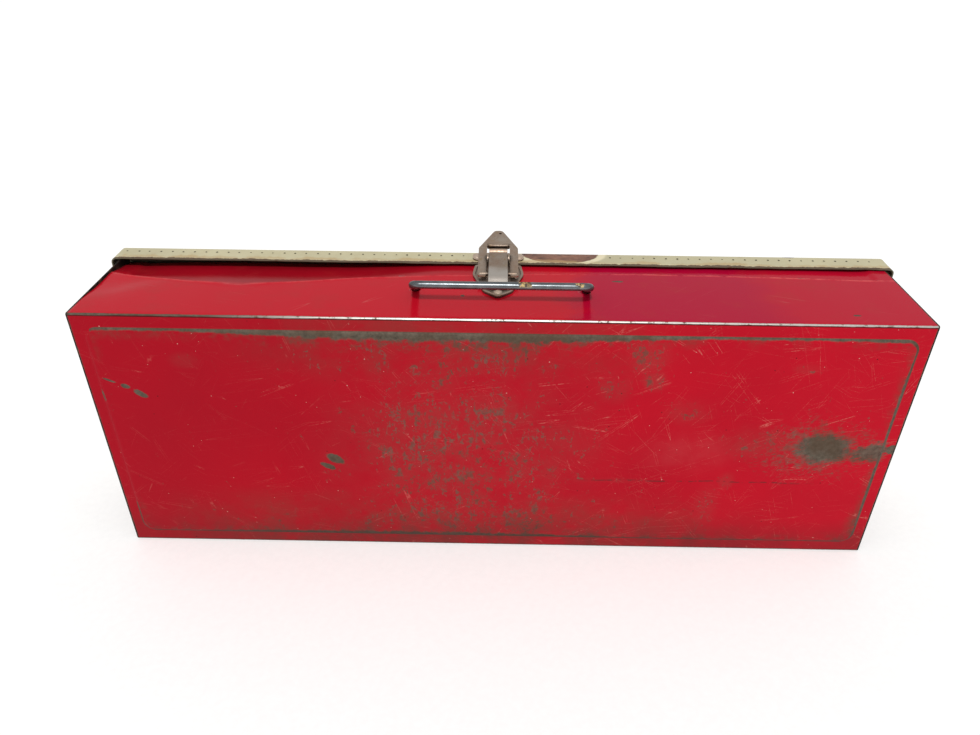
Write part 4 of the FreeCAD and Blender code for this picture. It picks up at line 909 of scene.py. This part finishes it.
class TOOLBOX_OT_end_panels(bpy.types.Operator):
    """End plates with inner flanges; the left one's upper flange is bent down with the handle face"""

    bl_idname = "toolbox.end_panels"
    bl_label = "End panels"

    def execute(self, context):
        sizes = context.scene.toolbox
        notch_y = (PIN_LOW.y + PIN_HIGH.y) / 2 - 4.8 * MM
        notch_z = (PIN_LOW.z + PIN_HIGH.z) / 2 + 5.1 * MM
        radius = sizes.fold
        for side, sign in (("left", -1), ("right", 1)):
            mesh = bmesh.new()
            outline = [(notch_y, 0), (notch_y, notch_z), (RIM, notch_z), (RIM, TOP)]
            for turn in range(0, 91, 15):
                a = math.radians(turn)
                outline.append((BACK + radius - radius * math.sin(a), TOP - radius + radius * math.cos(a)))
            for turn in range(0, 91, 15):
                a = math.radians(turn)
                outline.append((BACK + radius - radius * math.cos(a), radius - radius * math.sin(a)))
            face = mesh.faces.new([mesh.verts.new((sign * HALF, y, z)) for y, z in outline])
            raise_face(mesh, face, (sign * SHEET, 0, 0))
            rims = [e for e in mesh.edges if e.calc_face_angle(0) > 1]
            bmesh.ops.bevel(mesh, geom=rims, offset=0.18 * MM, segments=1, affect="EDGES")
            width = END_HIGH.x - SHEET - END_LOW.x
            drop = dent if side == "left" else (lambda x, s, sizes: np.zeros_like(s))
            ys = np.linspace(BACK + SHEET, RIM, 30)
            x_mid = np.full_like(ys, sign * (HALF - width / 2))
            upper = TOP - SHEET - 0.12 * MM - np.maximum(drop(x_mid, ys - BACK, sizes), 0)
            for edge, span, thick in (
                ([(y, z) for y, z in zip(ys, upper)], width, (0, -1)),
                ([(BACK + SHEET, z) for z in np.linspace(SHEET, TOP - SHEET, 6)], width, (1, 0)),
                ([(y, SHEET) for y in np.linspace(BACK + SHEET, notch_y, 6)], width, (0, 1)),
            ):
                add_strip(mesh, edge, sign * HALF, sign * (HALF - span), thick)
            panel = pour(mesh, f"end_panel_{side}_plate", finish_of("red_panel"), finish_of("edge"))
            for polygon in panel.data.polygons:
                flat = abs(polygon.normal.x) > 0.9
                outside = polygon.center.x * sign > END_HIGH.x - 0.2 * MM
                polygon.material_index = 0 if flat and outside else 1
            attach(panel, "case", "red_paint", f"end_panel_{side}")
        return {"FINISHED"}


def add_strip(mesh, edge, x_root, x_free, thick):
    """A flange: a line of points carried across x, one sheet thick towards the inside."""
    thick = (thick[0] * SHEET, thick[1] * SHEET)
    rings = []
    for y, z in edge:
        corners = [(x_root, y, z), (x_free, y, z), (x_free, y + thick[0], z + thick[1]),
                   (x_root, y + thick[0], z + thick[1])]
        rings.append([mesh.verts.new(corner) for corner in corners])
    faces = [mesh.faces.new(rings[0]), mesh.faces.new(rings[-1])]
    for first, second in zip(rings, rings[1:]):
        for i in range(4):
            j = (i + 1) % 4
            faces.append(mesh.faces.new((first[i], first[j], second[j], second[i])))
    bmesh.ops.recalc_face_normals(mesh, faces=faces)


# ---- the lid ----

def lid_loop(half_x, low, high, top_radius, low_radius):
    """Points round the lid, from the lower right corner, up, across and down. Also marks the lower side."""
    points = []
    corners = [(half_x, low, low_radius, -90), (half_x, high, top_radius, 0),
               (-half_x, high, top_radius, 90), (-half_x, low, low_radius, 180)]
    sides = (36, 96, 36, 96)
    for (x, z, radius, start), (x2, z2, radius2, start2), count in zip(
            corners, corners[1:] + corners[:1], sides):
        cx, cz = x - math.copysign(radius, x), z + (radius if z == low else -radius)
        for turn in range(7):
            a = math.radians(start + 15 * turn)
            points.append((cx + radius * math.cos(a), cz + radius * math.sin(a), False))
        cx2 = x2 - math.copysign(radius2, x2)
        cz2 = z2 + (radius2 if z2 == low else -radius2)
        first, last = points[-1], (cx2 + radius2 * math.cos(math.radians(start2)),
                                   cz2 + radius2 * math.sin(math.radians(start2)))
        for i in range(1, count):
            t = i / count
            points.append((first[0] + (last[0] - first[0]) * t, first[1] + (last[1] - first[1]) * t,
                           start == 180))
    return points


class TOOLBOX_OT_lid_shell(bpy.types.Operator):
    """Shallow lid with a ragged flange and its own raised field"""

    bl_idname = "toolbox.lid_shell"
    bl_label = "Lid shell"

    def execute(self, context):
        sizes = context.scene.toolbox
        half_x, low, high = LID_HIGH.x, LID_LOW.z, LID_HIGH.z
        edge, panel = LID_LOW.y, LID_HIGH.y - RISE
        fold, corners = 1.2 * MM, (3.5 * MM, 1.5 * MM)
        loops = []
        for y in (edge, edge + 0.5 * MM, edge + 1.4 * MM, edge + 3.5 * MM, edge + 7 * MM, edge + 11 * MM,
                  panel - fold - 1 * MM):
            loops.append((y, 0.0, low, high, *corners))
        for turn in range(0, 91, 15):
            a = math.radians(turn)
            loops.append((panel - fold + fold * math.sin(a), fold * (1 - math.cos(a)), low, high, *corners))
        loops.append((panel, 4 * MM, low, high, *corners))
        foot_low = 26.7 * MM
        for share in (0.0, 0.12, 0.3, 0.5, 0.7, 0.88, 1.0, 1.3, 3.0):
            run = sizes.field_inset + sizes.field_slope * share
            y = panel + RISE * float(ease(share))
            loops.append((y, run, foot_low - sizes.field_inset, high, sizes.field_corner + run,
                          sizes.field_corner + run))
        points, count = [], None
        for row, (y, inset, z_low, z_high, top_radius, low_radius) in enumerate(loops):
            ring = lid_loop(half_x - inset, z_low + inset, z_high - inset,
                            max(top_radius - inset, 0.3 * MM), max(low_radius - inset, 0.3 * MM))
            count = len(ring)
            along = np.array([p[0] for p in ring])
            up = np.array([p[1] for p in ring])
            wander = waver(along + up * 0.7, 0.0072, 0.7) * 0.28 + waver(along + up, 0.0023, 2.0) * 0.22
            rag = {0: 0.55, 1: 0.4, 2: 0.15}.get(row, 0.0) * MM * (wander + 0.5)
            rag = rag * np.ones(count)
            bow = 0.35 * MM * waver(along, 0.21, 0.9) * (row < 6)
            for (x, z, lower), lift, sway in zip(ring, rag, bow):
                outward = 1.0 if z > z_high - inset - 5 * MM else 0.0
                points.append((x, y + lift, z - abs(sway) * outward))
        faces = grid_faces(len(loops), count, closed=True)
        lower_side = [p[2] for p in ring]
        kept = []
        for number, face in enumerate(faces):
            row, column = divmod(number, count)
            if row < 6 and (lower_side[column] or lower_side[(column + 1) % count]):
                continue
            kept.append(face)
        last = (len(loops) - 1) * count
        kept.append(tuple(range(last, last + count)))
        materials = [finish_of("cream"), finish_of("cream_inside")]
        lid = new_piece("lid_shell", points, kept, materials)
        mend(lid)
        back = max(lid.data.polygons, key=lambda polygon: polygon.area)
        if back.normal.y < 0:
            lid.data.flip_normals()
        thicken(lid, SHEET, inner=1)
        settle(lid)
        attach(lid, "lid", "cream_paint", "lid_pan")
        return {"FINISHED"}


def dot_recipe(material):
    """Small flat dots at an even pitch along X, with a gap."""
    recipe = Recipe("flange_dots", {
        "Start": (0.0, 0.0, 0.0), "Pitch": 0.0075, "Count": 10, "Radius": 0.0004, "Skip low": 0.0,
        "Skip high": 0.0, "Seed": 5})
    add, given = recipe.add, recipe.given
    step = add("ShaderNodeCombineXYZ", values={"X": given["Pitch"]})
    line = add("GeometryNodeMeshLine", {"mode": "OFFSET"}, {
        "Count": given["Count"], "Start Location": given["Start"], "Offset": step})
    disc = add("GeometryNodeMeshCircle", {"fill_type": "NGON"}, {"Vertices": 10, "Radius": given["Radius"]})
    disc = add("GeometryNodeExtrudeMesh", {"mode": "FACES"}, {"Mesh": disc, "Offset Scale": 0.04 * MM})
    across = add("ShaderNodeSeparateXYZ", values={"Vector": add("GeometryNodeInputPosition")})
    above = add("FunctionNodeCompare", {"data_type": "FLOAT", "operation": "GREATER_THAN"}, {
        "A": across, "B": given["Skip low"]})
    below = add("FunctionNodeCompare", {"data_type": "FLOAT", "operation": "LESS_THAN"}, {
        "A": across, "B": given["Skip high"]})
    both = add("FunctionNodeBooleanMath", {"operation": "AND"}, {0: above, 1: below})
    line = add("GeometryNodeDeleteGeometry", {"domain": "POINT"}, {"Geometry": line, "Selection": both})
    shift = add("FunctionNodeRandomValue", {"data_type": "FLOAT_VECTOR"}, {
        "Min": (-0.4 * MM, -0.2 * MM, 0), "Max": (0.4 * MM, 0.2 * MM, 0), "Seed": given["Seed"]})
    line = add("GeometryNodeSetPosition", values={"Geometry": line, "Offset": shift})
    size = add("FunctionNodeRandomValue", {"data_type": "FLOAT"}, {
        2: 0.75, 3: 1.15, "Seed": given["Seed"]}, out=1)
    flat = add("ShaderNodeCombineXYZ", values={"X": size, "Y": size, "Z": 1.0})
    dots = add("GeometryNodeInstanceOnPoints", values={"Points": line, "Instance": disc, "Scale": flat})
    recipe.serve(dots, material)
    return recipe


class TOOLBOX_OT_lid_dots(bpy.types.Operator):
    """Row of small dots along the lid's front flange"""

    bl_idname = "toolbox.lid_dots"
    bl_label = "Lid dots"

    def execute(self, context):
        sizes = context.scene.toolbox
        start = Vector((-LID_HIGH.x + 7 * MM, LID_HIGH.y - RISE - 5.9 * MM, LID_HIGH.z + 0.005 * MM))
        count = int(2 * (LID_HIGH.x - 3 * MM) / sizes.dot_pitch)
        dots = place_mesh(bpy.data.meshes.new("lid_dots"))
        dot_recipe(finish_of("dot")).grow(
            dots, start=start, pitch=sizes.dot_pitch, count=count, radius=0.64 * MM,
            skip_low=LATCH_X - 21 * MM, skip_high=68 * MM, seed=5)
        attach(dots, "lid", "cream_paint")
        return {"FINISHED"}


# ---- the handle, the latch, the hinge and the tray ----

def rod_recipe(material):
    """A round rod along a route whose corners are rounded to the points' own bend radius."""
    recipe = Recipe("bent_rod", {"Rod radius": 0.0024})
    add, given = recipe.add, recipe.given
    bend = add("GeometryNodeInputNamedAttribute", {"data_type": "FLOAT"}, {"Name": "bend"}, out="Attribute")
    route = add("GeometryNodeMeshToCurve", values={"Mesh": given["Geometry"]})
    route = add("GeometryNodeFilletCurve", {"mode": "POLY"}, {
        "Curve": route, "Radius": bend, "Count": 14, "Limit Radius": True})
    ring = add("GeometryNodeCurvePrimitiveCircle", values={"Resolution": 28, "Radius": given["Rod radius"]},
               out="Curve")
    rod = add("GeometryNodeCurveToMesh", values={"Curve": route, "Profile Curve": ring, "Fill Caps": True})
    recipe.serve(add("GeometryNodeSetShadeSmooth", values={0: rod}), material)
    return recipe


class TOOLBOX_OT_handle(bpy.types.Operator):
    """Bail handle, swept along its route"""

    bl_idname = "toolbox.handle"
    bl_label = "Handle"

    def execute(self, context):
        low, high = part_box("carry_handle")
        radius, turn, corner = 2.38 * MM, 3 * MM, 5 * MM
        pivot = joint_place("handle_swing")
        grip_y, grip_z = low.y + radius, high.z - radius
        half = [(high.x, pivot.y, pivot.z), (LEG_X, pivot.y, pivot.z), (LEG_X, grip_y, grip_z)]
        route = [(-x, y, z) for x, y, z in half] + half[::-1]
        mesh = bpy.data.meshes.new("handle_rod")
        mesh.from_pydata(route, [(i, i + 1) for i in range(len(route) - 1)], [])
        mesh.attributes.new("bend", "FLOAT", "POINT").data.foreach_set("value", (0, turn, corner, corner, turn, 0))
        rod = rod_recipe(finish_of("rod")).grow(place_mesh(mesh), rod_radius=radius)
        attach(rod, "handle", "dark_steel", "carry_handle")
        return {"FINISHED"}


def link_lip():
    """Rolled lip that turns down behind the hook along the inside of the link's arch."""
    pivot = joint_place("latch_link_hinge")
    tilt = math.radians(9.9)
    half = 7.35 * MM
    reach, points = 32.3 * MM, []
    section = [(0.9, 0.62), (0.0, 0.58), (-0.5, 0.1), (-0.62, -0.9), (-0.30, -2.6), (0.25, -3.1),
               (0.55, -2.6), (0.30, -0.9), (0.9, -0.5)]
    for x in np.linspace(-half, half, 9):
        drop = 0.35 * (abs(x) / half) ** 2
        for along, up in section:
            a, b = reach + along * MM, (up + drop) * MM
            points.append((pivot.x + x, pivot.y + a * math.cos(tilt) - b * math.sin(tilt),
                           pivot.z + a * math.sin(tilt) + b * math.cos(tilt)))
    count = len(section)
    faces = grid_faces(9, count, closed=True) + [tuple(range(count)), tuple(range(8 * count, 9 * count))]
    lip = new_piece("latch_link_lip", points, faces, [finish_of("nickel")])
    mend(lip)
    return lip


class TOOLBOX_OT_latch(bpy.types.Operator):
    """Base plate, lever, link and strike of the draw latch, with softened stamped edges"""

    bl_idname = "toolbox.latch"
    bl_label = "Draw latch"

    def execute(self, context):
        slot = "tarnished_nickel"
        refined("latch_base_plate", "_worn", "case", slot, "nickel_pale", 0.30)
        refined("latch_lever", "_worn", "lever", slot, "nickel_rubbed", 0.28)
        refined("latch_link", "_worn", "link", slot, "nickel_pale", 0.36)
        refined("strike_plate", "_worn", "lid", slot, "nickel_bright", 0.25)
        attach(link_lip(), "link", slot)
        for node, body in (("latch_base_rivets", "case"), ("strike_rivets", "lid"), ("latch_lever_pin", "case")):
            refined(node, "_set", body, slot, "nickel_bright", 0)
        return {"FINISHED"}


class TOOLBOX_OT_hinge(bpy.types.Operator):
    """Piano hinge, its rivets and the handle's clips"""

    bl_idname = "toolbox.hinge"
    bl_label = "Hinge and clips"

    def execute(self, context):
        for node, body, slot, bevel in (
            ("hinge_leaf_case", "case", "hinge_steel", 0.12), ("hinge_leaf_lid", "lid", "hinge_steel", 0.12),
            ("hinge_pin", "case", "hinge_steel", 0.1), ("hinge_rivets_case", "case", "rivet_steel", 0),
            ("hinge_rivets_lid", "lid", "rivet_steel", 0), ("handle_clip_left", "case", "rivet_steel", 0.15),
            ("handle_clip_right", "case", "rivet_steel", 0.15), ("tray_rest_rivets", "case", "rivet_steel", 0),
        ):
            refined(node, "_finished", body, slot, "steel", bevel)
        return {"FINISHED"}


class TOOLBOX_OT_tray(bpy.types.Operator):
    """Lift-out tray with its dividers and handle, and the ledges that carry it"""

    bl_idname = "toolbox.tray"
    bl_label = "Tray"

    def execute(self, context):
        for node, body, finish, bevel in (
            ("tray_pan", "tray", "red_inside", 0.25), ("tray_divider_long", "tray", "red_inside", 0.15),
            ("tray_divider_left", "tray", "red_inside", 0.15), ("tray_divider_right", "tray", "red_inside", 0.15),
            ("tray_handle", "tray", "steel", 0.3), ("tray_handle_rivets", "tray", "steel", 0),
            ("tray_rest_left", "case", "red_inside", 0.15), ("tray_rest_right", "case", "red_inside", 0.15),
        ):
            refined(node, "_finished", body, "rivet_steel" if finish == "steel" else "red_paint", finish, bevel)
        return {"FINISHED"}


# ---- the stage ----

class TOOLBOX_OT_stage(bpy.types.Operator):
    """Pale floor, soft light and the camera"""

    bl_idname = "toolbox.stage"
    bl_label = "Stage"

    def execute(self, context):
        scene = context.scene
        scene.view_settings.view_transform = "Standard"
        floor = new_piece("stage_floor", [(-6, -6, 0), (6, -6, 0), (6, 6, 0), (-6, 6, 0)], [(0, 1, 2, 3)],
                          [finish_of("floor")], smooth=False)
        world = bpy.data.worlds.new("soft_room")
        scene.world = world
        world.use_nodes = True
        background = world.node_tree.nodes["Background"]
        background.inputs["Color"].default_value = (1.0, 1.0, 1.0, 1)
        background.inputs["Strength"].default_value = 0.60
        data = bpy.data.lights.new("key", "SUN")
        data.energy, data.angle, data.color = 2.0, math.radians(7), (1.0, 0.99, 0.975)
        light = bpy.data.objects.new("key", data)
        context.collection.objects.link(light)
        light.rotation_euler = Vector((0.03, 0.59, -0.81)).to_track_quat("-Z", "Y").to_euler()
        data = bpy.data.cameras.new("camera")
        data.lens, data.sensor_width = 28.18, 36
        data.clip_start, data.clip_end = 0.01, 50
        camera = bpy.data.objects.new("camera", data)
        context.collection.objects.link(camera)
        pitch, yaw, roll = math.radians(32.337), math.radians(0.514), math.radians(0.626)
        camera.location = (-2.48 * MM, -433.99 * MM, 394.98 * MM)
        turn = (Matrix.Rotation(yaw, 3, "Z") @ Matrix.Rotation(math.pi / 2 - pitch, 3, "X")
                @ Matrix.Rotation(roll, 3, "Z"))
        camera.rotation_euler = turn.to_euler()
        scene.camera = camera
        return {"FINISHED"}


PIECES = (TOOLBOX_OT_stage, TOOLBOX_OT_case_shell, TOOLBOX_OT_end_panels, TOOLBOX_OT_lid_shell,
          TOOLBOX_OT_lid_dots, TOOLBOX_OT_handle, TOOLBOX_OT_latch, TOOLBOX_OT_hinge, TOOLBOX_OT_tray)


class TOOLBOX_PT_pieces(bpy.types.Panel):
    """Lists the toolbox's pieces"""

    bl_idname = "TOOLBOX_PT_pieces"
    bl_label = "Toolbox"
    bl_space_type = "VIEW_3D"
    bl_region_type = "UI"
    bl_category = "Toolbox"

    def draw(self, context):
        for name in ToolboxSizes.__annotations__:
            self.layout.prop(context.scene.toolbox, name)
        for operator in PIECES:
            self.layout.operator(operator.bl_idname)


CLASSES = (ToolboxSizes, *PIECES, TOOLBOX_PT_pieces)


def register():
    for cls in CLASSES:
        bpy.utils.register_class(cls)
    bpy.types.Scene.toolbox = bpy.props.PointerProperty(type=ToolboxSizes)


def unregister():
    del bpy.types.Scene.toolbox
    for cls in reversed(CLASSES):
        bpy.utils.unregister_class(cls)


def main():
    register()
    bpy.ops.toolbox.stage()
    bpy.ops.toolbox.case_shell()
    bpy.ops.toolbox.end_panels()
    bpy.ops.toolbox.lid_shell()
    bpy.ops.toolbox.lid_dots()
    bpy.ops.toolbox.handle()
    bpy.ops.toolbox.latch()
    bpy.ops.toolbox.hinge()
    bpy.ops.toolbox.tray()


if __name__ == "__main__":
    main()
